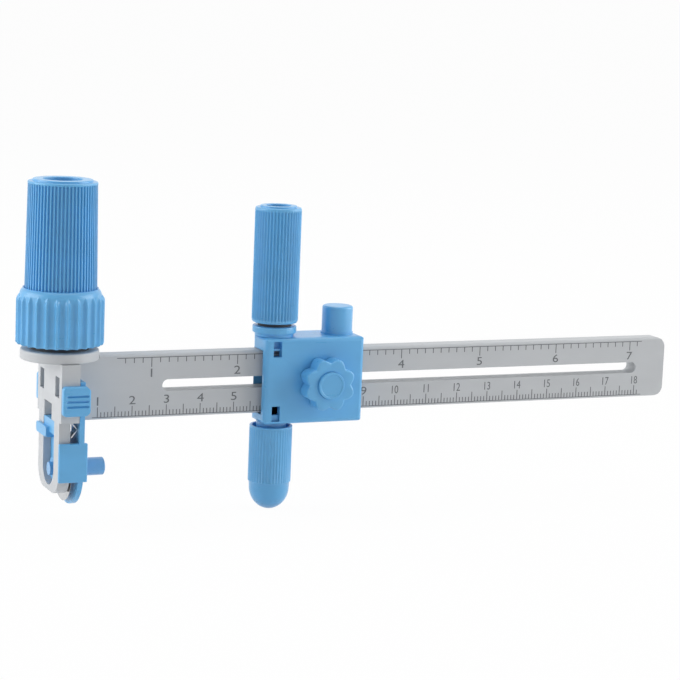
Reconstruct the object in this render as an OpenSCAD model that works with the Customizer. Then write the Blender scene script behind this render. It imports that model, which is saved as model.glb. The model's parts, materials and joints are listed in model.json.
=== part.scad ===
// Compass cutter: a rotary blade on a swivel grip cuts circles about a needle
// that slides along a ruler.
// Millimetres. The origin is the point where the blade meets the work, X runs
// along the ruler, Y across it, and Z up the grip.

/* [Ruler] */
// Reach of the ruler from the blade plane
ruler_reach = 188.9; // [150:0.1:260]
// Height of the ruler
ruler_h = 18; // [16:0.1:20]
// Thickness of the ruler
ruler_t = 5.5; // [4.5:0.1:6]
// Chamfer along the ruler's long edges
ruler_chamfer = 0.5; // [0.2:0.1:0.8]
// Radius of the ruler's free corners
ruler_corner_r = 3; // [1:0.1:5]
// Height of the long slot
slot_h = 3.3; // [3.2:0.1:5]
// Start of the slot from the blade plane
slot_start = 27.6; // [20:0.1:40]
// Ruler left past the end of the slot
slot_margin = 9.8; // [6:0.1:20]
// Drop from the ruler's centre line to the blade's centre
blade_drop = 22.6; // [21.5:0.1:26]

/* [Head frame] */
// Distance from the grip's axis to the blade plane
head_offset = 1.4; // [1.2:0.1:1.8]
// Thickness of the frame's upper block
frame_t = 5.2; // [5:0.1:6]
// Width of the frame's upper block
frame_w = 22.7; // [22:0.1:25]
// Width of the frame's lower loop
loop_w = 19.4; // [18:0.1:20.6]
// Thickness of the frame's lower loop
loop_t = 3.2; // [2.8:0.1:3.4]
// Depth of the loop below the blade's centre
loop_drop = 5.9; // [5:0.1:7]
// Radius of the loop's lower corners
loop_corner_r = 5.6; // [3:0.1:8]
// Width of the loop's opening
opening_w = 10.1; // [9:0.1:11]
// Web below the loop's opening
loop_web = 1.5; // [1:0.1:2]
// Ledge below the ruler's centre line where the loop starts
ledge_drop = 7.9; // [7.2:0.1:8.5]
// Diameter of the disc under the grip
disc_d = 21.6; // [20:0.1:22]
// Thickness of the disc
disc_t = 2.85; // [2:0.05:4]
// Height of the disc's underside over the ruler's centre line
disc_rise = 8.1; // [8:0.1:9]
// Width of each guide slot
guide_w = 3.8; // [3:0.1:4.4]
// Distance of each guide slot from the middle
guide_y = 7.3; // [7:0.1:8]
// Middle of the guide slots above the ruler's centre line
guide_rise = 1.5; // [1:0.1:2]

/* [Blade] */
// Diameter of the rotary blade
blade_d = 18; // [17:0.1:18.4]
// Thickness of the blade
blade_t = 0.35; // [0.25:0.05:0.5]
// Width of the ground bevel
bevel_w = 1.5; // [1:0.1:2.5]
// Diameter of the blade's pin
pin_d = 3.7; // [3.2:0.1:4.2]
// Diameter of the pin's outer boss
boss_d = 5; // [4.6:0.1:5.6]
// Reach of the boss from the blade plane
boss_reach = 12; // [9:0.1:14]

/* [Blade guard] */
// Travel of the guard
guard_travel = 4; // [3.4:0.1:4]
// Thickness of the guard's plate
guard_t = 1.4; // [1.2:0.1:1.8]
// Half width of the guard's plate
guard_half_w = 11.3; // [11:0.1:11.6]
// Radius of the guard's lower end
guard_r = 11.1; // [10.8:0.1:11.6]
// Cover of the guard below the blade's edge
guard_cover = 0.9; // [0.5:0.1:1.5]
// Depth of the thumb pads
pad_t = 1.8; // [1.4:0.1:2.5]
// Height of the thumb pads
pad_h = 8.2; // [7:0.1:9]
// Bulge of the thumb pads past the plate
pad_bulge = 1.05; // [0.6:0.05:1.4]
// Half width of the gap that straddles the ruler
fork_half_w = 3.4; // [3.2:0.1:4]
// Height of the shield
shield_h = 10.8; // [9:0.1:11.5]

/* [Grip] */
// Diameter of the ribbed barrel at its foot
barrel_d = 19.9; // [18:0.1:21]
// Diameter of the ribbed barrel at its top
barrel_top_d = 19.1; // [17:0.1:19.5]
// Height of the ribbed barrel over the collar
barrel_h = 28.1; // [22:0.1:36]
// Number of ribs round the barrel
barrel_ribs = 60; // [40:1:72]
// Height of the fluted collar
collar_h = 16.3; // [12:0.1:20]
// Diameter of the collar at its foot
collar_d = 24.6; // [24:0.1:27]
// Number of flutes round the collar
collar_flutes = 26; // [18:1:30]
// Diameter of the socket in the grip's top
socket_d = 10.6; // [9:0.1:12]
// Depth of the socket in the grip's top
socket_depth = 6.2; // [4:0.1:9]
// Diameter of the steel spindle
spindle_d = 5; // [4:0.1:5.6]

/* [Slider] */
// Radius that the compass is set to, from blade to needle
set_radius = 61.6; // [45:0.1:100]
// Width of the slider along the ruler
block_w = 30.4; // [29:0.1:36]
// Depth of the slider across the ruler
block_depth = 13.8; // [13.6:0.1:16]
// Slider wall above the ruler
block_top = 3.85; // [3.6:0.05:5]
// Slider wall below the ruler
block_foot = 2.85; // [2.6:0.05:4]
// Slider left of the needle's axis
block_left = 5.1; // [4.9:0.1:5.6]
// Radius of the slider's edges
block_r = 1.5; // [1:0.1:2]
// Thickness of the snapped-on cover
cover_t = 2.2; // [1.6:0.1:2.3]
// Diameter of the post that stores the needle's cap
post_d = 8.8; // [8:0.1:9]
// Height of the post
post_h = 8.1; // [6:0.1:10]

/* [Clamp] */
// Distance of the clamp from the needle's axis
clamp_x = 12.8; // [12:0.1:15]
// Diameter over the knob's lobes
knob_d = 15.2; // [13:0.1:17]
// Depth of the knob
knob_h = 5.3; // [4.6:0.1:7]
// Number of lobes
knob_lobes = 8; // [5:1:10]
// Diameter of the knob's centre cap
knob_cap_d = 7.8; // [7.4:0.1:8.6]
// Diameter of the clamp screw
screw_d = 2.9; // [2.4:0.1:3]
// Opening of the clamp over one turn of the knob
clamp_pitch = 0.5; // [0.35:0.05:0.7]

/* [Needle side] */
// Diameter of the upper handle
handle_d = 13.2; // [12:0.1:14]
// Height of the upper handle
handle_h = 33.1; // [25:0.1:40]
// Number of ribs round the handle and the cap
handle_ribs = 40; // [28:1:48]
// Diameter of the collar under the handle
seat_d = 12.5; // [11:0.1:13]
// Height of the collar under the handle
seat_h = 2.85; // [2:0.05:4]
// Diameter of the handle's spindle
handle_spindle_d = 3.8; // [3:0.1:4.4]
// Diameter of the needle
needle_d = 1.5; // [1:0.1:2]
// Reach of the needle below the blade's edge
needle_reach = 1.8; // [1:0.1:2.5]
// Diameter of the needle's cap
cap_d = 12.3; // [12:0.1:13.2]
// Length of the needle's cap
cap_len = 24.4; // [24:0.1:30]
// Gap between the slider's underside and the cap
cap_gap = 1.25; // [0.6:0.05:2]

/* [Fits] */
// Radial running clearance of shafts
run_gap = 0.05; // [0.02:0.01:0.09]
// Clearance of sliding plastic faces
slide_gap = 0.2; // [0.1:0.01:0.25]
// Small gap between moving faces that nearly touch
face_gap = 0.1; // [0.05:0.01:0.15]

/* [Hidden] */
$fn = 64;
blue = "#5fa9d8";
deep_blue = "#4a93c6";
grey = "#a8acb0";
dark = "#3c4046";
steel = "#c9ccd0";

// One overrun for every cut
cut = 1;

// Heights, all from the blade's lowest point
blade_z = blade_d / 2;
ruler_z = blade_z + blade_drop;
ruler_foot_z = ruler_z - ruler_h / 2;
ruler_top_z = ruler_z + ruler_h / 2;
ledge_z = ruler_z - ledge_drop;
disc_z = ruler_z + disc_rise;
disc_top_z = disc_z + disc_t;
loop_foot_z = blade_z - loop_drop;
opening_foot_z = loop_foot_z + loop_web;

// Head frame across X
head_x = -head_offset;
frame_x0 = head_x - frame_t / 2;
frame_x1 = head_x + frame_t / 2;
disc_edge_r = 0.5;
lug_room = 1.6;
guide_h = guard_travel + lug_room;
guide_z = ruler_z + guide_rise;
window_w = 6.9;
window_shift = 1.15;
window_rise = 4.4;
window_inset = 0.5;
window_z = ledge_z - window_inset;
tenon_len = 3.1;
tenon_h = 6;
tenon_inset = 1;
spindle_seat = 6.3;
ruler_screw_d = 2.2;
ruler_screw_head_d = 4.2;
ruler_screw_len = 9;
ruler_screw_offset = 6.4;
ruler_screw_x = head_x + ruler_screw_offset;
slot_end = ruler_reach - slot_margin;

// Blade stack
washer_d = 7;
washer_t = 0.5;
dome_h = 0.6;
blade_edge_t = 0.05;
shoulder_x = blade_t / 2 + washer_t + run_gap;

// Carrier in the loop's opening
carrier_gap = 0.1;
pin_tail = frame_x0 + carrier_gap;
carrier_t = 1.1;
carrier_x = frame_x0 + loop_t;
carrier_block_h = 3.8;
carrier_stem_w = 2.6;
carrier_hub_d = 6.2;
carrier_hub_t = 1.7;
finger_t = 0.7;
finger_h = 2.9;
finger_drop = 5.4;
finger_z = window_z - finger_drop;

// Guard
guard_gap = 0.15;
guard_x = frame_x1 + guard_gap;
guard_end_z = guard_r - guard_cover;
pad_drop = 5.75;
pad_z = ruler_z - pad_drop;
pad_y = frame_w / 2 + guard_gap;
pad_out_y = pad_y + pad_t;
pad_ear = 1.6;
prong_margin = 0.8;
prong_top_z = disc_z - guard_travel - prong_margin;
fork_margin = 1.2;
fork_z = ruler_foot_z - guard_travel - fork_margin;
pad_groove_w = 0.55;
pad_groove_pitch = 1.45;
pad_grooves = 3;
pad_chamfer = 1.2;
shield_gap = 0.25;
shield_t = 1.35;
shield_y = loop_w / 2 + shield_gap;
shield_drop = 1.8;
shield_z = blade_z - shield_drop;
shield_lap = 0.3;
lug_h = guide_h - guard_travel - 2 * face_gap;
lug_depth = 2.3;
spring_t = 0.25;
spring_w = 3;
spring_drop = 4.4;

// Grip on its spindle
neck_h = 1.35;
neck_d = 16;
collar_z = disc_top_z + neck_h;
collar_top_z = collar_z + collar_h;
collar_flare = 0.6;
collar_shoulder_r = 1.9;
collar_lip = 1.15;
flute_r = 1.75;
flute_depth = 0.75;
flute_margin = 1.35;
spigot_d = 15;
rib_depth = 0.4;
barrel_foot_z = collar_top_z - collar_lip;
barrel_top_z = collar_top_z + barrel_h;
rim_h = 1.1;
rim_chamfer = 0.4;
rim_inset = 0.12;
ring_d = 16.4;
ring_h = 0.6;
grip_top_z = barrel_top_z + ring_h;
bush_d = 8;
bush_len = 6;
floor_t = 2;
spindle_washer_d = 9;
spindle_washer_t = 0.6;
spindle_screw_d = 2.5;
spindle_screw_head_d = 5.2;
spindle_screw_head_h = 1.9;
spindle_screw_len = 7;
well_margin = 0.4;
well_gap = 0.3;
grip_well_d = spindle_washer_d + 2 * well_gap;
grip_well_h = face_gap + spindle_washer_t + spindle_screw_head_h + well_margin;
floor_z = grip_top_z - socket_depth - grip_well_h;
spindle_top_z = floor_z + face_gap;
drive_d = 2.6;
drive_depth = 1;
drive_bar_share = 0.17;
drive_arm_share = 0.6;

// Slider
pivot_x = set_radius;
block_x = pivot_x - block_left;
block_z = ruler_foot_z - block_foot;
block_top_z = ruler_top_z + block_top;
block_h = block_top_z - block_z;
block_back_r = 6;
channel_half_t = ruler_t / 2 + slide_gap;
channel_half_h = ruler_h / 2 + slide_gap;
split_y = -block_depth / 2 + cover_t;
tongue_inset = 2.2;
hook_w = 2.5;
hook_h = 4.4;
hook_inset = 2.4;
hook_x = block_x + hook_inset;
hook_margin = 0.9;
post_inset = 6;
post_x = block_x + block_w - post_inset;
post_edge_r = 0.7;
post_lip = 0.25;
post_lip_h = 0.6;

// Clamp
clamp_abs_x = pivot_x + clamp_x;
knob_gap = 0.3;
knob_y = -block_depth / 2 - knob_gap;
knob_front_y = knob_y - knob_h;
knob_wave = 0.75;
knob_steps = 14;
knob_neck_d = 9;
knob_cap_h = 0.8;
knob_cap_sink = 1.2;
knob_cap_rim = 0.5;
knob_cap_dish = 0.25;
hex_d = 5.6;
hex_h = 2;
plate_w = 12;
plate_h = 10;
plate_t = 2;
plate_gap = 0.03;
pocket_gap = 0.3;
screw_tip_y = ruler_t / 2 + plate_gap + plate_t + clamp_pitch;

// Needle side
stem_head_d = 8;
stem_head_t = 1.1;
seat_z = block_top_z;
seat_top_z = seat_z + seat_h;
seat_edge_r = 1.2;
handle_washer_d = 9.6;
handle_washer_t = 0.9;
handle_z = seat_top_z + handle_washer_t + face_gap;
handle_top_z = handle_z + handle_h;
handle_band = 1.3;
handle_waist = 0.35;
handle_ring_d = 10.4;
handle_ring_h = 0.5;
handle_socket_d = 7;
handle_socket_depth = 4;
handle_screw_d = 2;
handle_screw_head_d = 4;
handle_screw_head_h = 1.5;
handle_screw_len = 6;
handle_washer_top_d = 6;
handle_washer_top_t = 0.5;
handle_well_d = handle_washer_top_d + 2 * well_gap;
handle_well_h = face_gap + handle_washer_top_t + handle_screw_head_h + well_margin;
handle_floor_z = handle_top_z - handle_socket_depth - handle_well_h;
handle_bush_d = 6.2;
handle_bush_len = 5;
cap_fit_d = post_d + 2 * run_gap;
cap_z = block_z - cap_gap;
cap_foot_z = cap_z - cap_len;
cap_rib_foot = 8.5;
cap_nose_r = 3.2;
cap_bore_len = 17;
cap_taper = 0.35;
cap_band = 0.8;
cap_tip_wall = 2.6;
holder_lip = 0.3;
holder_d = post_d - 2 * face_gap;
holder_head_d = holder_d + 2 * holder_lip;
holder_len = 13.5;
holder_cone = 4;
holder_tip_d = 2.6;
needle_seat = 6;
needle_tip = 3;
needle_tip_d = 0.1;

// Shared shapes

// Rectangle from one corner with four round corners
module round_rect(w, h, r) {
    translate([r, 0]) square([w - 2 * r, h]);
    translate([0, r]) square([w, h - 2 * r]);
    for (x = [r, w - r], y = [r, h - r]) translate([x, y]) circle(r = r);
}

// Box from one corner whose twelve edges are round
module soft_box(size, r) {
    intersection() {
        linear_extrude(size[2]) round_rect(size[0], size[1], r);
        translate([0, size[1], 0]) rotate([90, 0, 0])
            linear_extrude(size[1]) round_rect(size[0], size[2], r);
        rotate([90, 0, 90]) linear_extrude(size[0]) round_rect(size[1], size[2], r);
    }
}

// Extrusion along X of an outline drawn in Y and Z
module along_x(x0, len) {
    translate([x0, 0, 0]) rotate([90, 0, 90]) linear_extrude(len) children();
}

// Extrusion along Y of an outline drawn in X and Z
module along_y(y0, len) {
    translate([0, y0 + len, 0]) rotate([90, 0, 0]) linear_extrude(len) children();
}

// Cylinder along Y from y0
module rod_y(x, z, y0, len, d) {
    translate([x, y0, z]) rotate([-90, 0, 0]) cylinder(d = d, h = len);
}

// Cylinder along X from x0
module rod_x(x0, z, len, d) {
    translate([x0, 0, z]) rotate([0, 90, 0]) cylinder(d = d, h = len);
}

// Shares of one rib's pitch and depth, from valley to valley
rib_shares = [[0, 0], [0.16, 0.05], [0.32, 0.8], [0.5, 1], [0.68, 0.8], [0.84, 0.05]];

function rib_outline(count, root_r, depth) = [
    for (i = [0:count - 1]) for (s = rib_shares)
        let (a = 360 * (i + s[0]) / count, r = root_r + depth * s[1])
            [r * cos(a), r * sin(a)]];

// Ribbed barrel that narrows by the given scale
module ribbed(count, d, height, top_scale = 1) {
    linear_extrude(height, scale = top_scale)
        polygon(rib_outline(count, d / 2 - rib_depth, rib_depth));
}

// Plain washer or bush
module ring(d, bore, height) {
    difference() {
        cylinder(d = d, h = height);
        translate([0, 0, -cut]) cylinder(d = bore, h = height + 2 * cut);
    }
}

// Pan-head screw pointing down, its head seated at z = 0
module pan_screw(d, len, head_d, head_h) {
    difference() {
        union() {
            translate([0, 0, -len]) cylinder(d = d, h = len);
            rotate_extrude() {
                square([head_d / 2, head_h / 2]);
                intersection() {
                    square([head_d / 2, head_h]);
                    scale([1, head_h / head_d * 2]) circle(d = head_d);
                }
            }
        }
        translate([0, 0, head_h - drive_depth]) drive_cross(head_d);
    }
}

// Cross recess for a driver
module drive_cross(head_d) {
    bar = head_d * drive_bar_share;
    arm = min(drive_d, head_d * drive_arm_share);
    for (a = [0, 90]) rotate(a)
        translate([-arm / 2, -bar / 2, 0]) cube([arm, bar, drive_depth + cut]);
}

// Head frame

// Outline of the upper block in Y and Z
module block_outline() {
    translate([-frame_w / 2, ledge_z]) square([frame_w, disc_z - ledge_z]);
}

// Outline of the lower loop in Y and Z
module loop_outline() {
    translate([-loop_w / 2, loop_foot_z])
        round_rect(loop_w, ledge_z - loop_foot_z + loop_corner_r, loop_corner_r);
}

// Opening of the loop, grown or shrunk by a margin
module opening_outline(margin = 0) {
    w = opening_w + 2 * margin;
    low = opening_foot_z + opening_w / 2;
    translate([0, low]) circle(d = w);
    translate([-w / 2, low]) square([w, window_z + margin - low]);
}

module guide_slots() {
    for (side = [-1, 1])
        translate([side * guide_y - guide_w / 2, guide_z - guide_h / 2])
            square([guide_w, guide_h]);
}

module head_disc() {
    translate([head_x, 0, disc_z]) rotate_extrude() {
        square([disc_d / 2 - disc_edge_r, disc_t]);
        translate([0, disc_edge_r]) square([disc_d / 2, disc_t - 2 * disc_edge_r]);
        for (z = [disc_edge_r, disc_t - disc_edge_r])
            translate([disc_d / 2 - disc_edge_r, z]) circle(r = disc_edge_r);
    }
}

module head_frame() {
    tenon_t = ruler_t - 2 * tenon_inset;
    color(grey) difference() {
        union() {
            head_disc();
            along_x(frame_x0, frame_t) block_outline();
            along_x(frame_x0, loop_t) intersection() {
                loop_outline();
                translate([-frame_w / 2, 0]) square([frame_w, disc_z]);
            }
        }
        along_x(frame_x0 - cut, frame_t + 2 * cut) guide_slots();
        along_x(frame_x0 - cut, loop_t + cut) opening_outline();
        along_x(frame_x0 - cut, loop_t - tenon_inset + cut)
            translate([window_shift - window_w / 2, window_z - cut])
                square([window_w, window_rise + cut]);
        translate([frame_x1 - tenon_len, -tenon_t / 2, ruler_z - tenon_h / 2])
            cube([tenon_len + cut, tenon_t, tenon_h]);
        translate([head_x, 0, disc_top_z - spindle_seat])
            cylinder(d = spindle_d, h = spindle_seat + cut);
        translate([ruler_screw_x, 0, disc_z - cut])
            cylinder(d = ruler_screw_d, h = disc_t + 2 * cut);
        translate([ruler_screw_x, 0, disc_top_z - (ruler_screw_head_d - ruler_screw_d) / 2])
            cylinder(d1 = ruler_screw_d, d2 = ruler_screw_head_d + 2 * face_gap,
                h = (ruler_screw_head_d - ruler_screw_d) / 2 + face_gap);
    }
}

// Ruler

module ruler_section() {
    h = ruler_h / 2;
    t = ruler_t / 2;
    c = ruler_chamfer;
    polygon([[-t, c - h], [c - t, -h], [t - c, -h], [t, c - h],
        [t, h - c], [t - c, h], [c - t, h], [-t, h - c]]);
}

module slot_outline() {
    r = slot_h / 2;
    translate([slot_start + r, ruler_z - r]) square([slot_end - slot_start - slot_h, slot_h]);
    for (x = [slot_start + r, slot_end - r]) translate([x, ruler_z]) circle(r = r);
}

module ruler_bar() {
    tenon_t = ruler_t - 2 * tenon_inset;
    len = ruler_reach - frame_x1;
    color(grey) difference() {
        union() {
            intersection() {
                translate([frame_x1, 0, ruler_z]) rotate([90, 0, 90])
                    linear_extrude(len) ruler_section();
                along_y(-ruler_t, 2 * ruler_t) union() {
                    translate([frame_x1, ruler_foot_z]) square([len / 2, ruler_h]);
                    translate([frame_x1, ruler_foot_z])
                        round_rect(len, ruler_h, ruler_corner_r);
                }
            }
            translate([frame_x1 - tenon_len, -tenon_t / 2, ruler_z - tenon_h / 2])
                cube([tenon_len + ruler_chamfer, tenon_t, tenon_h]);
        }
        along_y(-ruler_t, 2 * ruler_t) slot_outline();
        translate([head_x, 0, disc_z]) cylinder(d = disc_d + 2 * face_gap, h = ruler_h);
        translate([ruler_screw_x, 0, disc_top_z - ruler_screw_len])
            cylinder(d = ruler_screw_d, h = ruler_screw_len);
    }
}

module ruler_screw() {
    head_h = (ruler_screw_head_d - ruler_screw_d) / 2;
    color(steel) translate([ruler_screw_x, 0, disc_top_z]) difference() {
        union() {
            translate([0, 0, -ruler_screw_len])
                cylinder(d = ruler_screw_d, h = ruler_screw_len);
            translate([0, 0, -head_h])
                cylinder(d1 = ruler_screw_d, d2 = ruler_screw_head_d, h = head_h);
        }
        translate([0, 0, -drive_depth / 2]) drive_cross(ruler_screw_head_d);
    }
}

// Grip

module swivel_spindle() {
    foot = disc_top_z - spindle_seat;
    color(steel) translate([head_x, 0, foot]) difference() {
        cylinder(d = spindle_d, h = spindle_top_z - foot);
        translate([0, 0, spindle_top_z - foot - spindle_screw_len])
            cylinder(d = spindle_screw_d, h = spindle_screw_len + cut);
    }
}

module neck_washer() {
    color(dark) translate([head_x, 0, disc_top_z])
        ring(neck_d, spindle_d, neck_h - face_gap);
}

module grip_collar() {
    r0 = collar_d / 2;
    r1 = r0 - collar_flare / 2;
    rs = collar_shoulder_r;
    flute_len = collar_h - flute_margin;
    color(blue) translate([head_x, 0, collar_z]) difference() {
        rotate_extrude() {
            polygon([[spigot_d / 2, 0], [r0, 0], [r1, collar_h / 2],
                [r1, collar_h - rs], [r1 - rs, collar_h - rs],
                [r1 - rs, collar_h], [spigot_d / 2, collar_h]]);
            intersection() {
                translate([r1 - rs, collar_h - rs]) circle(r = rs);
                translate([r1 - rs, collar_h - rs]) square(rs);
            }
        }
        for (i = [0:collar_flutes - 1]) rotate(360 * i / collar_flutes)
            translate([r1 + flute_r - flute_depth, 0, -cut])
                cylinder(r = flute_r, h = flute_len + cut);
        translate([0, 0, collar_h - collar_lip])
            cylinder(d = barrel_d + 2 * face_gap, h = collar_lip + cut);
    }
}

module grip_barrel() {
    rib_h = barrel_top_z - rim_h - barrel_foot_z;
    r = barrel_top_d / 2 - rim_inset;
    color(blue) translate([head_x, 0, 0]) difference() {
        union() {
            translate([0, 0, barrel_foot_z])
                ribbed(barrel_ribs, barrel_d, rib_h, barrel_top_d / barrel_d);
            translate([0, 0, collar_z])
                cylinder(d = spigot_d, h = barrel_foot_z - collar_z + cut);
            translate([0, 0, barrel_top_z - rim_h]) rotate_extrude() {
                polygon([[0, 0], [r, 0], [r, rim_h - rim_chamfer],
                    [r - rim_chamfer, rim_h], [ring_d / 2, rim_h],
                    [ring_d / 2, rim_h + ring_h], [0, rim_h + ring_h]]);
            }
        }
        translate([0, 0, floor_z + grip_well_h]) cylinder(d = socket_d, h = socket_depth + cut);
        translate([0, 0, floor_z]) cylinder(d = grip_well_d, h = grip_well_h + cut);
        translate([0, 0, floor_z - floor_t - cut])
            cylinder(d = spindle_d + 2 * run_gap, h = floor_t + 2 * cut);
        translate([0, 0, collar_z - cut])
            cylinder(d = bush_d, h = floor_z - floor_t - collar_z + cut);
    }
}

module grip_bushes() {
    color(dark) for (z = [collar_z, floor_z - floor_t - bush_len])
        translate([head_x, 0, z]) ring(bush_d, spindle_d + 2 * run_gap, bush_len);
}

module spindle_washer() {
    color(steel) translate([head_x, 0, spindle_top_z])
        ring(spindle_washer_d, spindle_screw_d, spindle_washer_t);
}

module spindle_screw() {
    color(steel) translate([head_x, 0, spindle_top_z + spindle_washer_t])
        pan_screw(spindle_screw_d, spindle_screw_len, spindle_screw_head_d,
            spindle_screw_head_h);
}

// Blade, pin and carrier

module rotary_blade() {
    r = blade_d / 2;
    bore = pin_d / 2 + run_gap;
    color(steel) translate([0, 0, blade_z]) rotate([0, 90, 0]) rotate_extrude()
        polygon([[bore, -blade_t / 2], [r - bevel_w, -blade_t / 2],
            [r, -blade_edge_t / 2], [r, blade_edge_t / 2],
            [r - bevel_w, blade_t / 2], [bore, blade_t / 2]]);
}

module blade_washers() {
    color(steel) for (side = [-1, 1])
        translate([side * (blade_t / 2 + run_gap / 2 + washer_t / 2) - washer_t / 2, 0, blade_z])
            rotate([0, 90, 0]) ring(washer_d, pin_d, washer_t);
}

module blade_pin() {
    color(deep_blue) {
        rod_x(pin_tail, blade_z, shoulder_x - pin_tail, pin_d);
        translate([shoulder_x, 0, blade_z]) rotate([0, 90, 0]) rotate_extrude() {
            square([boss_d / 2, boss_reach - shoulder_x - dome_h]);
            intersection() {
                translate([0, boss_reach - shoulder_x - dome_h])
                    scale([1, 2 * dome_h / boss_d]) circle(d = boss_d);
                square([boss_d / 2, boss_reach]);
            }
        }
    }
}

module blade_carrier() {
    g = carrier_gap;
    wall_y = opening_w / 2 - g;
    color(blue) difference() {
        union() {
            along_x(carrier_x - carrier_t, carrier_t) opening_outline(-g);
            translate([frame_x0 + g, -wall_y, window_z - g - carrier_block_h])
                cube([loop_t - g, 2 * wall_y, carrier_block_h]);
            translate([carrier_x - loop_t / 2 - g, -carrier_stem_w / 2, blade_z])
                cube([loop_t / 2, carrier_stem_w, window_z - g - blade_z]);
            rod_x(carrier_x - carrier_t - carrier_hub_t / 2, blade_z,
                carrier_t + carrier_hub_t / 2, carrier_hub_d);
            along_x(frame_x0 - g - finger_t, finger_t)
                translate([0, finger_z]) round_rect(loop_w / 2, finger_h, finger_h / 3);
            translate([frame_x0 - g - finger_t / 2, 0, finger_z])
                cube([loop_t, wall_y, finger_h]);
        }
        rod_x(frame_x0 - cut, blade_z, loop_t + 2 * cut, pin_d);
    }
}

// Guard

module guard_outline() {
    difference() {
        union() {
            translate([0, guard_end_z]) circle(r = guard_r);
            translate([-guard_half_w, guard_end_z])
                square([2 * guard_half_w, prong_top_z - guard_end_z]);
            translate([-pad_out_y, pad_z]) square([2 * pad_out_y, pad_h]);
            for (side = [0, 1]) mirror([side, 0])
                translate([pad_y, pad_z + pad_h]) square([pad_t, pad_ear]);
        }
        translate([-fork_half_w, fork_z + fork_half_w])
            square([2 * fork_half_w, disc_z]);
        translate([0, fork_z + fork_half_w]) circle(r = fork_half_w);
        boss_slot();
    }
}

// Slot that lets the guard pass the pin's boss
module boss_slot() {
    r = boss_d / 2 + slide_gap;
    for (z = [blade_z, blade_z - guard_travel]) translate([0, z]) circle(r = r);
    translate([-r, blade_z - guard_travel]) square([2 * r, guard_travel]);
}

// Outline of a thumb pad in X and Z
module pad_outline() {
    x0 = frame_x0 - shield_lap;
    x1 = guard_x + guard_t;
    z0 = pad_z;
    z1 = pad_z + pad_h;
    c = pad_chamfer;
    polygon([[x0, z0], [x1 + pad_bulge - c, z0], [x1 + pad_bulge, z0 + c],
        [x1 + pad_bulge, z1 - c], [x1, z1 + pad_ear], [guard_x, z1 + pad_ear],
        [guard_x, z1], [x0, z1]]);
}

module thumb_pad() {
    groove_x = frame_x0 + pad_groove_pitch;
    groove_len = guard_x + guard_t - groove_x + cut;
    difference() {
        along_y(-pad_out_y, pad_t) pad_outline();
        for (i = [0:pad_grooves - 1])
            translate([groove_x, -pad_out_y - cut,
                pad_z + pad_h / 2 + (i - pad_grooves / 2) * pad_groove_pitch])
                cube([groove_len, cut + pad_t / 3, pad_groove_w]);
    }
}

module blade_guard() {
    shield_x = frame_x0 - shield_lap;
    color(blue) {
        along_x(guard_x, guard_t) guard_outline();
        for (side = [0, 1]) mirror([0, side, 0]) thumb_pad();
        translate([shield_x, -shield_y - shield_t, shield_z])
            soft_box([guard_x + guard_t - shield_x + pad_bulge, shield_t, shield_h],
                shield_t / 3);
        for (side = [-1, 1])
            translate([guard_x - lug_depth, side * guide_y - guide_w / 2 + slide_gap,
                guide_z - guide_h / 2 + face_gap])
                cube([lug_depth + guard_t / 2, guide_w - 2 * slide_gap, lug_h]);
    }
}

// Bent leaf that holds the guard where it is set
module guard_spring() {
    x0 = carrier_x + spring_t;
    x1 = guard_x - run_gap;
    t = spring_t;
    z1 = ledge_z;
    z0 = ledge_z - spring_drop;
    zm = (z0 + z1) / 2;
    color(steel) along_y(-loop_w / 2 + spring_t, spring_w)
        polygon([[x0, z1], [x0, z1 - t], [x1 - t, zm], [x0, z0 + t], [x0, z0],
            [x0 + t, z0], [x1, zm - t / 2], [x1, zm + t / 2], [x0 + t, z1 - t],
            [x1, z1 - t], [x1, z1]]);
}

// Slider

// Plan of the slider in X and Y, with its rear left corner round the needle's axis
module block_plan() {
    d = block_depth;
    intersection() {
        translate([block_x, -d / 2]) round_rect(block_w, d, block_r);
        union() {
            translate([block_x, -d / 2]) square([block_w, d - block_back_r]);
            translate([block_x + block_back_r, -d / 2]) square([block_w, d]);
            translate([block_x + block_back_r, d / 2 - block_back_r])
                circle(r = block_back_r);
        }
    }
}

module block_solid() {
    intersection() {
        translate([0, 0, block_z]) linear_extrude(block_h) block_plan();
        translate([block_x, -block_depth / 2, block_z])
            soft_box([block_w, block_depth, block_h], block_r);
    }
}

// Tongue behind the cover that fills the channel up to the ruler
module tongue() {
    h = 2 * (channel_half_h - tongue_inset);
    translate([block_x + tongue_inset, split_y, ruler_z - h / 2])
        cube([block_w - 2 * tongue_inset, -channel_half_t - split_y, h]);
}

module hook_window(z) {
    translate([hook_x, -block_depth / 2 - cut, z])
        cube([hook_w, cover_t + cut, hook_h]);
}

module cap_post() {
    r = post_d / 2;
    e = post_edge_r;
    translate([post_x, 0, block_top_z - cut]) rotate_extrude() {
        square([r, post_h + cut - e]);
        square([r - e, post_h + cut]);
        translate([r - e, post_h + cut - e]) circle(r = e);
        square([r + post_lip, cut + post_lip_h]);
    }
}

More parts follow.
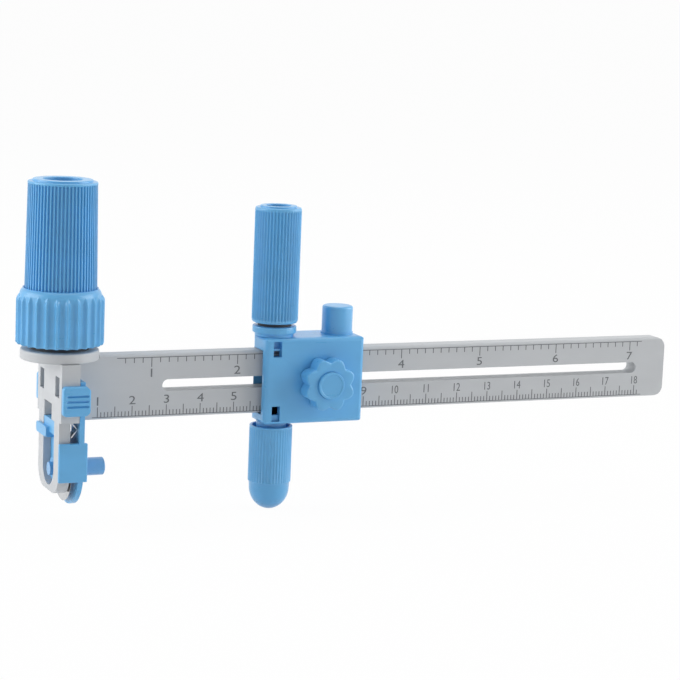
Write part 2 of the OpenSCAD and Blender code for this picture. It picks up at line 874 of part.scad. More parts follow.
module slider_body() {
    hooks_z = [block_z + hook_margin, block_top_z - hook_margin - hook_h];
    color(blue) difference() {
        union() {
            intersection() {
                block_solid();
                translate([block_x - cut, split_y, block_z - cut])
                    cube([block_w + 2 * cut, block_depth, block_h + 2 * cut]);
            }
            cap_post();
            for (z = hooks_z) translate([hook_x + face_gap, split_y - cover_t / 2,
                    z + face_gap])
                cube([hook_w - 2 * face_gap, cover_t, hook_h / 2]);
        }
        translate([block_x - cut, split_y - block_depth, ruler_z - channel_half_h])
            cube([block_w + 2 * cut, channel_half_t - split_y + block_depth,
                2 * channel_half_h]);
        translate([pivot_x, 0, ruler_z]) cylinder(d = handle_spindle_d, h = ruler_h);
        translate([pivot_x, 0, ruler_z + channel_half_h - face_gap])
            cylinder(d = stem_head_d + 2 * face_gap, h = stem_head_t + face_gap);
        translate([pivot_x, 0, block_z - cut])
            cylinder(d = holder_d + 2 * run_gap, h = block_foot + cut);
        translate([pivot_x, 0, ruler_z - channel_half_h - stem_head_t])
            cylinder(d = holder_head_d + 2 * face_gap, h = stem_head_t + face_gap);
        translate([clamp_abs_x - plate_w / 2 - pocket_gap, 0,
            ruler_z - plate_h / 2 - pocket_gap])
            cube([plate_w + 2 * pocket_gap,
                screw_tip_y + face_gap, plate_h + 2 * pocket_gap]);
    }
}

module slider_cover() {
    hooks_z = [block_z + hook_margin, block_top_z - hook_margin - hook_h];
    color(blue) difference() {
        union() {
            intersection() {
                block_solid();
                translate([block_x - cut, split_y - block_depth, block_z - cut])
                    cube([block_w + 2 * cut, block_depth, block_h + 2 * cut]);
            }
            tongue();
        }
        for (z = hooks_z) hook_window(z);
        rod_y(clamp_abs_x, ruler_z, -block_depth, block_depth, screw_d + 2 * slide_gap);
    }
}

// Clamp

function knob_outline(r, wave, lobes, steps) = [
    for (i = [0:lobes * steps - 1])
        let (a = 360 * i / (lobes * steps), q = r - wave + wave * cos(lobes * a))
            [q * cos(a), q * sin(a)]];

module clamp_knob() {
    color(blue) translate([clamp_abs_x, 0, ruler_z]) difference() {
        translate([0, knob_y, 0]) rotate([90, 0, 0]) linear_extrude(knob_h)
            polygon(knob_outline(knob_d / 2, knob_wave, knob_lobes, knob_steps));
        rod_y(0, 0, knob_front_y - cut, knob_cap_sink + cut, knob_cap_d + 2 * run_gap);
        translate([0, knob_front_y, 0]) rotate([-90, 0, 0])
            cylinder(d = hex_d + 2 * face_gap, h = knob_cap_sink + hex_h, $fn = 6);
        rod_y(0, 0, knob_front_y, knob_h + cut, screw_d);
    }
}

module knob_cap() {
    h = knob_cap_h + knob_cap_sink - face_gap;
    color(blue) translate([clamp_abs_x, knob_front_y - knob_cap_h, ruler_z])
        rotate([-90, 0, 0]) difference() {
            cylinder(d = knob_cap_d, h = h);
            translate([0, 0, -cut])
                cylinder(d = knob_cap_d - 2 * knob_cap_rim, h = cut + knob_cap_dish);
        }
}

module clamp_screw() {
    head_y = knob_front_y + knob_cap_sink;
    color(steel) {
        translate([clamp_abs_x, head_y, ruler_z]) rotate([-90, 0, 0])
            cylinder(d = hex_d, h = hex_h, $fn = 6);
        rod_y(clamp_abs_x, ruler_z, head_y + hex_h / 2,
            screw_tip_y - head_y - hex_h / 2, screw_d);
    }
}

module clamp_plate() {
    color(steel) difference() {
        translate([clamp_abs_x - plate_w / 2, ruler_t / 2 + plate_gap, ruler_z - plate_h / 2])
            soft_box([plate_w, plate_t, plate_h], plate_t / 4);
        rod_y(clamp_abs_x, ruler_z, 0, block_depth, screw_d + 2 * run_gap);
    }
}

module knob_washer() {
    color(dark) translate([clamp_abs_x, knob_y, ruler_z]) rotate([-90, 0, 0])
        ring(knob_neck_d, screw_d + 2 * slide_gap, knob_gap - run_gap);
}

// Needle side

module pivot_collar() {
    r = seat_d / 2;
    e = seat_edge_r;
    color(blue) translate([pivot_x, 0, seat_z]) difference() {
        rotate_extrude() {
            square([r - e, seat_h]);
            translate([0, e]) square([r, seat_h - e]);
            translate([r - e, e]) circle(r = e);
        }
        translate([0, 0, -cut]) cylinder(d = handle_spindle_d, h = seat_h + 2 * cut);
    }
}

module handle_spindle() {
    foot = ruler_z + channel_half_h + face_gap;
    top = handle_floor_z + face_gap;
    color(steel) translate([pivot_x, 0, foot]) difference() {
        union() {
            cylinder(d = stem_head_d, h = stem_head_t - face_gap);
            cylinder(d = handle_spindle_d, h = top - foot);
        }
        translate([0, 0, top - foot - handle_screw_len])
            cylinder(d = handle_screw_d, h = handle_screw_len + cut);
    }
}

module pivot_handle() {
    r = handle_d / 2;
    w = handle_waist;
    rib_z = handle_z + handle_band;
    rib_h = handle_h - 2 * handle_band;
    color(blue) translate([pivot_x, 0, 0]) difference() {
        union() {
            translate([0, 0, rib_z]) ribbed(handle_ribs, handle_d, rib_h);
            translate([0, 0, handle_z]) rotate_extrude()
                polygon([[0, 0], [r - w, 0], [r - w / 2, w], [r - w / 2, handle_band],
                    [0, handle_band]]);
            translate([0, 0, handle_top_z - handle_band]) rotate_extrude()
                polygon([[0, 0], [r - w / 2, 0], [r - w / 2, handle_band - handle_ring_h - w],
                    [r - w, handle_band - handle_ring_h],
                    [handle_ring_d / 2, handle_band - handle_ring_h],
                    [handle_ring_d / 2, handle_band], [0, handle_band]]);
        }
        translate([0, 0, handle_floor_z + handle_well_h])
            cylinder(d = handle_socket_d, h = handle_socket_depth + cut);
        translate([0, 0, handle_floor_z]) cylinder(d = handle_well_d, h = handle_well_h + cut);
        translate([0, 0, handle_floor_z - floor_t - cut])
            cylinder(d = handle_spindle_d + 2 * run_gap, h = floor_t + 2 * cut);
        translate([0, 0, handle_z - cut])
            cylinder(d = handle_bush_d, h = handle_floor_z - floor_t - handle_z + cut);
    }
}

module handle_bushes() {
    color(dark) for (z = [handle_z, handle_floor_z - floor_t - handle_bush_len])
        translate([pivot_x, 0, z])
            ring(handle_bush_d, handle_spindle_d + 2 * run_gap, handle_bush_len);
}

module handle_washer() {
    color(dark) translate([pivot_x, 0, seat_top_z])
        ring(handle_washer_d, handle_spindle_d, handle_washer_t);
}

module handle_screw() {
    z = handle_floor_z + face_gap;
    color(steel) translate([pivot_x, 0, z]) {
        ring(handle_washer_top_d, handle_screw_d, handle_washer_top_t);
        translate([0, 0, handle_washer_top_t])
            pan_screw(handle_screw_d, handle_screw_len, handle_screw_head_d,
                handle_screw_head_h);
    }
}

module needle_holder() {
    r = holder_d / 2;
    head_r = holder_head_d / 2;
    head_z = ruler_z - channel_half_h - stem_head_t + face_gap;
    foot_z = block_z - holder_len;
    color(deep_blue) translate([pivot_x, 0, 0]) difference() {
        rotate_extrude()
            polygon([[0, head_z + stem_head_t - 2 * face_gap],
                [head_r, head_z + stem_head_t - 2 * face_gap], [head_r, head_z],
                [r, head_z], [r, foot_z], [holder_tip_d / 2, foot_z - holder_cone],
                [0, foot_z - holder_cone]]);
        translate([0, 0, foot_z - holder_cone - cut])
            cylinder(d = needle_d, h = needle_seat + holder_cone + cut);
    }
}

module needle() {
    top = block_z - holder_len + needle_seat;
    color(steel) translate([pivot_x, 0, -needle_reach]) {
        cylinder(d1 = needle_tip_d, d2 = needle_d, h = needle_tip);
        translate([0, 0, needle_tip])
            cylinder(d = needle_d, h = top + needle_reach - needle_tip);
    }
}

module needle_cap() {
    r = cap_d / 2;
    rib_z = cap_foot_z + cap_rib_foot;
    rib_h = cap_len - cap_rib_foot - cap_band;
    rt = r - cap_taper;
    color(blue) translate([pivot_x, 0, 0]) difference() {
        union() {
            translate([0, 0, rib_z])
                ribbed(handle_ribs, cap_d, rib_h);
            translate([0, 0, rib_z + rib_h])
                cylinder(r = r - rib_depth / 2, h = cap_band);
            translate([0, 0, cap_foot_z]) rotate_extrude() {
                intersection() {
                    union() {
                        translate([rt - cap_nose_r, cap_nose_r]) circle(r = cap_nose_r);
                        square([rt - cap_nose_r, cap_nose_r]);
                        polygon([[0, cap_nose_r], [rt, cap_nose_r],
                            [r - rib_depth / 2, cap_rib_foot], [0, cap_rib_foot]]);
                    }
                    square([r, cap_rib_foot]);
                }
            }
        }
        translate([0, 0, cap_z - cap_bore_len])
            cylinder(d = cap_fit_d, h = cap_bore_len + cut);
        translate([0, 0, cap_foot_z + cap_tip_wall])
            cylinder(d = holder_tip_d + 2 * slide_gap, h = cap_len / 2);
    }
}

head_frame();
ruler_bar();
ruler_screw();
swivel_spindle();
neck_washer();
grip_collar();
grip_barrel();
grip_bushes();
spindle_washer();
spindle_screw();
blade_guard();
guard_spring();
blade_carrier();
rotary_blade();
blade_pin();
blade_washers();
slider_body();
slider_cover();
clamp_knob();
knob_cap();
clamp_screw();
clamp_plate();
knob_washer();
pivot_collar();
pivot_handle();
handle_spindle();
handle_bushes();
handle_washer();
handle_screw();
needle_holder();
needle();
needle_cap();
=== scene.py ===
"""Dresses the packed compass cutter: its studio, its moulded plastics and steel,
the ribbed grips, the lobed knob and the scales on the ruler."""

import json
import math

import bmesh
import bpy
import numpy as np
from bpy.props import FloatProperty, FloatVectorProperty, IntProperty, PointerProperty
from mathutils import Matrix, Vector


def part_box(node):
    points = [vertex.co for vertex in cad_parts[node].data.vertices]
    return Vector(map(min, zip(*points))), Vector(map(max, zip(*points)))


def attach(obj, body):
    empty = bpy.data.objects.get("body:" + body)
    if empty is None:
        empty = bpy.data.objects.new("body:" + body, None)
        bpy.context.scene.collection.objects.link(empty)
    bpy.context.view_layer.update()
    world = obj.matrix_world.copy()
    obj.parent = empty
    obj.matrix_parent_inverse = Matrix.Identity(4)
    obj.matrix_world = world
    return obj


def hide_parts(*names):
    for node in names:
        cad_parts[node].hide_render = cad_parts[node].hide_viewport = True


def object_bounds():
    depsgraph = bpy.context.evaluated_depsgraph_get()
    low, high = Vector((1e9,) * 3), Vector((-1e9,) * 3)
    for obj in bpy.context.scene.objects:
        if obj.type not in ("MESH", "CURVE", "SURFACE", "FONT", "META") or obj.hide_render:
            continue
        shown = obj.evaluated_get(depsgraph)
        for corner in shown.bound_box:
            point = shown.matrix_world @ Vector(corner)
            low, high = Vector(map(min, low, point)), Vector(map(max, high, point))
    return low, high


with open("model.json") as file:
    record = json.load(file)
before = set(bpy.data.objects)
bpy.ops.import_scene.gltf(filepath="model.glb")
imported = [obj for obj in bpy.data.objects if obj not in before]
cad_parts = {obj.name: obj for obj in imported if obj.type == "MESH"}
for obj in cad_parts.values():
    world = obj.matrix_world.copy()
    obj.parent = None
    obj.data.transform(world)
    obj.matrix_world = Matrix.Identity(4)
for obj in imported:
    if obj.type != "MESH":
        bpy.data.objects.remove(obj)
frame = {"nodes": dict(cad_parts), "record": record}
cad_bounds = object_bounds()

bl_info = {
    "name": "Compass cutter",
    "version": (1, 0, 0),
    "blender": (4, 5, 0),
    "location": "View3D > Sidebar > Compass cutter",
    "description": "Finishes, grips, scales and studio for a compass cutter",
    "category": "Object",
}

MM = 0.001
TAU = 2 * math.pi
FRAME_BACK = -4.0 * MM  # the face of the head frame on the far side from the ruler
SPIGOT_R = 7.5 * MM  # the barrel's spigot, and the collar's bore round it
COLLAR_LIP = 1.15 * MM  # from the collar's top in the solids down to the barrel's foot
MOULDED_SHARP, MADE_SHARP = 32, 50  # degrees from which an edge of a copy or a made piece is sharp
SEEN_RAYS = ("Is Camera Ray", "Is Glossy Ray", "Is Transmission Ray")


def tone(red, green, blue):
    """A colour given as 8-bit screen values, as the linear colour that a shader takes."""
    screen = np.array([red, green, blue]) / 255
    return tuple(np.where(screen <= 0.04045, screen / 12.92, ((screen + 0.055) / 1.055) ** 2.4))


def length(name, description, default):
    """A size in metres that the sidebar shows."""
    return FloatProperty(name=name, description=description, default=default, min=0,
                         subtype="DISTANCE", unit="LENGTH", precision=5)


def colour(name, description, default):
    """A colour that the sidebar shows."""
    return FloatVectorProperty(name=name, description=description, default=default,
                               subtype="COLOR", size=3, min=0, max=1)


def share(name, description, default):
    """A number from 0 to 1 that the sidebar shows."""
    return FloatProperty(name=name, description=description, default=default, min=0, max=1,
                         subtype="FACTOR")


class StageSettings(bpy.types.PropertyGroup):
    """Floor, lamps and world."""

    floor_radius: length("Floor radius", "Radius of the round floor", 16.0)
    floor_drop: length("Floor drop", "Gap between the lowest point and the floor", 0.0002)
    floor_tone: colour("Floor", "Colour of the floor", (0.9, 0.9, 0.9))
    floor_lift: share("Floor lift", "Share of plain white in a direct look at the floor", 0.97)
    world_light: FloatProperty(name="World light", description="Strength of the even light",
                               default=0.26, min=0)
    side_power: FloatProperty(name="Side lamps", description="Power of each side lamp",
                              default=8.0, min=0, unit="POWER")
    top_power: FloatProperty(name="Top lamp", description="Power of the lamp overhead",
                             default=3.6, min=0, unit="POWER")
    front_power: FloatProperty(name="Front lamp", description="Power of the weak front lamp",
                               default=0.2, min=0, unit="POWER")


class FinishSettings(bpy.types.PropertyGroup):
    """Colours and gloss of the plastics, the steel and the scale's ink."""

    blue: colour("Blue", "Blue moulded plastic", tone(98, 176, 228))
    deep_blue: colour("Deep blue", "Pin and needle holder", tone(102, 168, 221))
    grey: colour("Grey", "Grey moulded plastic", tone(196, 199, 202))
    dark: colour("Dark", "Washers and bushes", tone(52, 56, 62))
    steel: colour("Steel", "Screws, spindles and needle", tone(196, 198, 201))
    ink: colour("Ink", "Lines and figures of the scales", tone(112, 115, 119))
    blue_gloss: share("Blue roughness", "Roughness of the blue plastic", 0.34)
    grey_gloss: share("Grey roughness", "Roughness of the grey plastic", 0.48)


class EdgeSettings(bpy.types.PropertyGroup):
    """Rounding of the moulded edges."""

    frame_edge: length("Frame edge", "Width of the head frame's round edges", 0.25 * MM)
    ruler_edge: length("Ruler edge", "Width of the ruler's round edges", 0.16 * MM)
    guard_edge: length("Guard edge", "Width of the guard's round edges", 0.28 * MM)
    slider_edge: length("Slider edge", "Width of the slider's small edges", 0.2 * MM)
    slider_corner: length("Slider corner", "Width of the slider's round outer edges", 0.85 * MM)


class GripSettings(bpy.types.PropertyGroup):
    """Ribs and flutes of the grips."""

    barrel_ribs: IntProperty(name="Barrel ribs", description="Ribs round the grip's barrel",
                             default=60, min=12, max=90)
    barrel_rib_depth: length("Barrel rib depth", "Depth between the barrel's ribs", 0.7 * MM)
    collar_ridges: IntProperty(name="Collar ridges", description="Ridges round the collar",
                               default=26, min=8, max=40)
    ridge_height: length("Ridge height", "Height of the collar's ridges", 0.85 * MM)
    handle_ribs: IntProperty(name="Handle ribs", description="Ribs round the handle and cap",
                             default=44, min=12, max=60)
    handle_rib_depth: length("Handle rib depth", "Depth between the handle's ribs", 0.5 * MM)
    cap_rib_depth: length("Cap rib depth", "Depth between the cap's ribs", 0.2 * MM)
    knob_lobes: IntProperty(name="Knob lobes", description="Lobes round the clamp knob",
                            default=8, min=4, max=12)
    lobe_depth: length("Lobe depth", "Depth between the knob's lobes", 1.3 * MM)


class ScaleSettings(bpy.types.PropertyGroup):
    """Centimetre and inch scales on the ruler."""

    line: length("Line width", "Width of a graduation line", 0.24 * MM)
    relief: length("Relief", "Height of lines and figures over the face", 0.03 * MM)
    base_line: length("Base line", "Width of the long base lines", 0.2 * MM)
    short_tick: length("Short tick", "Length of the short lines", 1.45 * MM)
    centimetre_tick: length("Centimetre tick", "Length of the long centimetre lines", 2.9 * MM)
    inch_tick: length("Inch tick", "Length of the whole-inch lines", 2.7 * MM)
    figure: length("Figure height", "Height of the figures", 2.35 * MM)
    figure_gap: length("Figure gap", "Gap between a line and its figure", 0.45 * MM)
    figure_width: FloatProperty(name="Figure width", default=1.28, min=0.5, max=2,
                                description="Width of one digit against the typeface's own")
    narrow: share("Narrow figures", "Width of two-digit figures beside that of one digit", 0.62)


SETTINGS = {
    "cutter_stage": StageSettings,
    "cutter_finish": FinishSettings,
    "cutter_edge": EdgeSettings,
    "cutter_grip": GripSettings,
    "cutter_scale": ScaleSettings,
}


# What the frame says

def span(node):
    """Low corner, high corner and middle of a packed node, as arrays."""
    low, high = (np.array(corner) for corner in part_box(node))
    return low, high, (low + high) / 2


def radius_of(node):
    """Half the width of a packed round node."""
    low, high, _ = span(node)
    return (high - low)[0] / 2


def bore_of(mount):
    """Radius and depth of a bore among the record's mounts."""
    dims = next(m["dims"] for m in frame["record"]["mounts"] if m["name"] == mount)
    return dims["r_mm"] * MM, dims["length_mm"] * MM


def body_of(node):
    """The body that a packed node belongs to."""
    return next(b for b, nodes in frame["record"]["behaviour"]["bodies"].items() if node in nodes)


def slot_of(node):
    """The material slot of a packed node."""
    return next(p["material_slot"] for p in frame["record"]["subparts"] if p["node"] == node)


# Surfaces

def put_object(name, data):
    """Links a new object to the scene."""
    made = bpy.data.objects.new(name, data)
    bpy.context.scene.collection.objects.link(made)
    return made


def put_mesh(name, points, faces, body, slot, sharp=35, finish=None):
    """Makes a piece from an array of points and an array or list of faces. The faces are
    turned round if the volume that they enclose comes out negative, so they point outwards."""
    corners = [np.asarray(f) for f in faces] if isinstance(faces, list) else [faces]
    volume = 0.0
    for group in corners:
        first = points[group[:, 0]]
        for k in range(1, group.shape[1] - 1):
            second, third = points[group[:, k]], points[group[:, k + 1]]
            volume += np.einsum("ij,ij->", first, np.cross(second, third))
    if volume < 0:
        corners = [group[:, ::-1] for group in corners]
    mesh = bpy.data.meshes.new(name)
    mesh.from_pydata(points, [], [f for group in corners for f in group.tolist()])
    mesh.update()
    return put_piece(name, mesh, body, slot, sharp, finish)


def put_piece(name, mesh, body, slot, sharp=35, finish=None):
    """Links a mesh as a piece that rides on a body and has its slot's finish, or another."""
    mesh.shade_smooth()
    mesh.set_sharp_from_angle(angle=math.radians(sharp))
    mesh.materials.clear()
    mesh.materials.append(finish_for(finish or slot))
    piece = put_object(name, mesh)
    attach(piece, body)
    return piece


def rounded(corners, steps=5):
    """A closed outline from corners given as (across, up, radius): each corner with a radius
    becomes the arc that touches both its sides."""
    spots = np.array([c[:2] for c in corners], float)
    outline = []
    for i, (spot, radius) in enumerate(zip(spots, [c[2] for c in corners])):
        back, ahead = spots[i - 1] - spot, spots[(i + 1) % len(spots)] - spot
        back, ahead = back / np.linalg.norm(back), ahead / np.linalg.norm(ahead)
        half = math.acos(np.clip(back @ ahead, -1, 1)) / 2
        if radius == 0 or half > math.radians(89):
            outline.append(spot[None])
            continue
        centre = spot + (back + ahead) / np.linalg.norm(back + ahead) * radius / math.sin(half)
        start = spot + back * radius / math.tan(half) - centre
        end = spot + ahead * radius / math.tan(half) - centre
        t = np.linspace(0, 1, steps + 1)[:, None]
        swing = math.acos(np.clip(start @ end / radius ** 2, -1, 1))
        arc = (np.sin((1 - t) * swing) * start + np.sin(t * swing) * end) / math.sin(swing)
        outline.append(centre + arc)
    return np.vstack(outline)


AXES = {
    "Z": np.array([[1, 0, 0], [0, 1, 0], [0, 0, 1]]),
    "-Y": np.array([[1, 0, 0], [0, 0, 1], [0, -1, 0]]),
}


def lathe(outline, columns, centre, axis="Z", relief=None):
    """Turns a closed outline of (radius, height) about an axis: point i, j lies at the radius
    of point i plus relief(radius, height, angle), and at angle j. Where the outline touches
    the axis the ring closes to one point."""
    angle = np.linspace(0, TAU, columns, endpoint=False)
    radius = np.repeat(outline[:, :1], columns, axis=1)
    height = np.repeat(outline[:, 1:], columns, axis=1)
    if relief:
        radius = radius + relief(radius, height, angle[None])
    points = np.stack([radius * np.cos(angle), radius * np.sin(angle), height], -1)
    points = points.reshape(-1, 3) @ AXES[axis] + np.asarray(centre)
    index = np.arange(len(points)).reshape(len(outline), columns)
    on_axis = outline[:, 0] < 1e-9
    index[on_axis] = index[on_axis][:, :1]
    below, above = index, np.roll(index, -1, axis=0)
    quads = np.stack([below, np.roll(below, -1, axis=1), np.roll(above, -1, axis=1), above], -1)
    quads = quads.reshape(-1, 4)
    foot, tip = quads[:, 0] == quads[:, 1], quads[:, 2] == quads[:, 3]
    faces = [quads[~foot & ~tip], quads[foot & ~tip][:, [0, 2, 3]], quads[tip & ~foot][:, :3]]
    used, where = np.unique(np.concatenate([f.ravel() for f in faces]), return_inverse=True)
    ends = np.cumsum([0] + [f.size for f in faces])
    faces = [where[a:b].reshape(f.shape) for f, a, b in zip(faces, ends, ends[1:])]
    return points[used], [f for f in faces if len(f)]


def turned(name, node, outline, columns, axis="Z", relief=None):
    """A blue piece in place of a packed node: the outline turned about the node's middle
    line. Its heights are the frame's along Z, and run from the node's back along -Y."""
    _, high, middle = span(node)
    centre = (middle[0], middle[1], 0) if axis == "Z" else (middle[0], high[1], middle[2])
    points, faces = lathe(outline, columns, centre, axis, relief)
    piece = put_mesh(name, points, faces, body_of(node), "blue_plastic", MADE_SHARP)
    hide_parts(node)


def crest(angle, count, power):
    """A wave of so many crests round the turn, 1 on a crest and 0 in a valley. A power over 1
    narrows the crests and one under 1 narrows the valleys."""
    return (0.5 + 0.5 * np.cos(count * angle)) ** power


def ramp(value, low, high):
    """Smooth step from 0 at low to 1 at high."""
    t = np.clip((value - low) / (high - low), 0, 1)
    return t * t * (3 - 2 * t)


def fine_ribs(count, depth, wide, foot, head):
    """Relief of ribs on the side of radius wide, with valleys narrower than the crests. The
    valleys deepen from the first height of foot, and of head, to the second."""

    def relief(radius, height, angle):
        side = radius > wide - 0.06 * MM
        stretch = ramp(height, *foot) * ramp(height, *head)
        return -depth * side * stretch * (1 - crest(angle, count, 0.8))

    return relief


def boxes(lows, highs):
    """Points and faces of many upright boxes from arrays of their low and high corners."""
    pick = np.array([[0, 0, 0], [1, 0, 0], [1, 1, 0], [0, 1, 0],
                     [0, 0, 1], [1, 0, 1], [1, 1, 1], [0, 1, 1]])
    points = lows[:, None] + (highs - lows)[:, None] * pick[None]
    sides = np.array([[0, 3, 2, 1], [4, 5, 6, 7], [0, 1, 5, 4],
                      [1, 2, 6, 5], [2, 3, 7, 6], [3, 0, 4, 7]])
    faces = sides[None] + 8 * np.arange(len(lows))[:, None, None]
    return points.reshape(-1, 3), faces.reshape(-1, 4)


def softened(node, width, outer=None, cut_y=None):
    """A copy of a packed moulding with its edges rounded: its doubles are merged, flat
    stretches become single faces, and each edge gets a bevel of the given width. With outer,
    an edge that lies in two faces of the moulding's box gets that wider bevel. With cut_y,
    what lies further out than that on both sides is cut off and the cuts are closed."""
    mesh = frame["nodes"][node].data.copy()
    work = bmesh.new()
    work.from_mesh(mesh)
    bmesh.ops.remove_doubles(work, verts=work.verts, dist=1e-6)
    if cut_y:
        for side in (-1, 1):
            cut = bmesh.ops.bisect_plane(
                work, geom=work.verts[:] + work.edges[:] + work.faces[:],
                plane_co=(0, side * cut_y, 0), plane_no=(0, side, 0), clear_outer=True)
            rim = [e for e in cut["geom_cut"] if isinstance(e, bmesh.types.BMEdge)]
            bmesh.ops.holes_fill(work, edges=rim, sides=0)
    bmesh.ops.dissolve_limit(work, angle_limit=math.radians(1), verts=work.verts,
                             edges=work.edges)
    work.to_mesh(mesh)
    work.free()
    piece = put_piece(node + "_moulding", mesh, body_of(node), slot_of(node), MOULDED_SHARP)
    bevel = piece.modifiers.new("Edges", "BEVEL")
    if outer:
        mark_edges(mesh, node, width / outer)
        bevel.limit_method, bevel.width, bevel.segments = "WEIGHT", outer, 4
    else:
        bevel.limit_method, bevel.width, bevel.segments = "ANGLE", width, 3
        bevel.angle_limit = math.radians(MOULDED_SHARP)
    bevel.harden_normals = True
    bevel.miter_outer = "MITER_ARC"
    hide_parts(node)


def mark_edges(mesh, node, narrow):
    """Bevel weights: 1 for a sharp edge whose ends both lie in the same two faces of the
    node's box, narrow for any other sharp edge, 0 for one that isn't sharp."""
    low, high, _ = span(node)
    near = 0.03 * MM
    points = np.zeros(len(mesh.vertices) * 3)
    mesh.vertices.foreach_get("co", points)
    points = points.reshape(-1, 3)
    on_face = np.hstack([abs(points - low) < near, abs(points - high) < near])
    ends = np.zeros(len(mesh.edges) * 2, dtype=int)
    mesh.edges.foreach_get("vertices", ends)
    ends = ends.reshape(-1, 2)
    outside = (on_face[ends[:, 0]] & on_face[ends[:, 1]]).sum(1) >= 2
    work = bmesh.new()
    work.from_mesh(mesh)
    bends = np.array([e.calc_face_angle(0) for e in work.edges])
    work.free()
    weight = np.where(bends > math.radians(MOULDED_SHARP), np.where(outside, 1.0, narrow), 0.0)
    layer = mesh.attributes.new("bevel_weight_edge", "FLOAT", "EDGE")
    layer.data.foreach_set("value", weight.astype(np.float32))


def tablet(low, high, corner, edge, carve):
    """A slab in the plane of X and Z with round corners and round edges. A grid on the slab's
    box is drawn in at the corners until its outline is round, and then each point is set at
    the edge's radius from the slab that is smaller by that radius on all sides. carve then
    gives the change of each point."""
    step, merge = 0.16 * MM, 0.0005 * MM
    low, high = np.asarray(low, float), np.asarray(high, float)
    middle, half = (low + high) / 2, (high - low) / 2
    counts = np.maximum(np.ceil((high - low) / step).astype(int), 8)
    points, faces, count = [], [], 0
    for axis in range(3):
        a, b = [k for k in range(3) if k != axis]
        u, v = np.linspace(-1, 1, counts[a] + 1), np.linspace(-1, 1, counts[b] + 1)
        grid_u, grid_v = np.meshgrid(u, v, indexing="ij")
        index = np.arange(grid_u.size).reshape(grid_u.shape)
        quads = np.stack([index[:-1, :-1], index[1:, :-1], index[1:, 1:], index[:-1, 1:]], -1)
        quads = quads.reshape(-1, 4)
        for side in (-1, 1):
            face = np.zeros((grid_u.size, 3))
            face[:, axis], face[:, a], face[:, b] = side, grid_u.ravel(), grid_v.ravel()
            points.append(face * half)
            outward = (side > 0) != (axis == 1)
            faces.append((quads if outward else quads[:, ::-1]) + count)
            count += len(face)
    points, faces = np.vstack(points), np.vstack(faces)
    flat = points[:, [0, 2]]
    core = np.clip(flat, -(half[[0, 2]] - corner), half[[0, 2]] - corner)
    away = flat - core
    far, wide = np.linalg.norm(away, axis=1), abs(away).max(1)
    away = away * np.divide(wide, far, out=np.ones_like(far), where=far > 0)[:, None]
    reach = np.divide(corner - edge, wide, out=np.ones_like(wide), where=wide > 0)
    inner = np.zeros_like(points)
    inner[:, [0, 2]] = core + away * np.minimum(1, reach)[:, None]
    inner[:, 1] = np.clip(points[:, 1], edge - half[1], half[1] - edge)
    points[:, [0, 2]] = core + away
    out = points - inner
    points = inner + out * (edge / np.maximum(np.linalg.norm(out, axis=1), 1e-12))[:, None]
    key = np.round((points + middle) / merge).astype(np.int64)
    _, first, where = np.unique(key, axis=0, return_index=True, return_inverse=True)
    points, faces = points[first] + middle, where.ravel()[faces]
    whole = (np.diff(np.sort(faces, axis=1), axis=1) > 0).all(1)
    return points + carve(points), faces[whole]


# Materials

class Signal:
    """A node socket in a sum: an operator on it adds the Math node."""

    def __init__(self, maker, socket):
        self.maker, self.socket = maker, socket

    def _math(self, operation, *terms):
        return self.maker.node("ShaderNodeMath", {"operation": operation},
                               dict(enumerate(terms)))

    def __add__(self, other):
        return self._math("ADD", self, other)

    def __sub__(self, other):
        return self._math("SUBTRACT", self, other)

    def __rsub__(self, other):
        return self._math("SUBTRACT", other, self)

    def __mul__(self, other):
        return self._math("MULTIPLY", self, other)

    def __truediv__(self, other):
        return self._math("DIVIDE", self, other)

    __radd__ = __add__
    __rmul__ = __mul__

    def between(self, low, high):
        """0 at low, 1 at high, smooth and clamped between."""
        return self.maker.node("ShaderNodeMapRange", {"interpolation_type": "SMOOTHSTEP"},
                               {"Value": self, "From Min": low, "From Max": high})


class Maker:
    """Adds nodes to a material or a world."""

    def __init__(self, owner):
        owner.use_nodes = True
        self.tree = owner.node_tree

    def node(self, kind, settings, inputs, output=0):
        """Adds a node: its settings first, then its sockets, and gives one output."""
        made = self.tree.nodes.new(kind)
        for key, value in settings.items():
            setattr(made, key, value)
        for key, value in inputs.items():
            self.feed(made.inputs[key], value)
        return Signal(self, made.outputs[output])

    def feed(self, socket, value):
        """Links a signal to a socket, or sets the socket's value."""
        if isinstance(value, Signal):
            self.tree.links.new(value.socket, socket)
        else:
            socket.default_value = value

    def seen(self):
        """1 for a direct look, or one in a mirror or through glass, and 0 for other light."""
        path = self.tree.nodes.new("ShaderNodeLightPath")
        return sum(Signal(self, path.outputs[ray]) for ray in SEEN_RAYS)


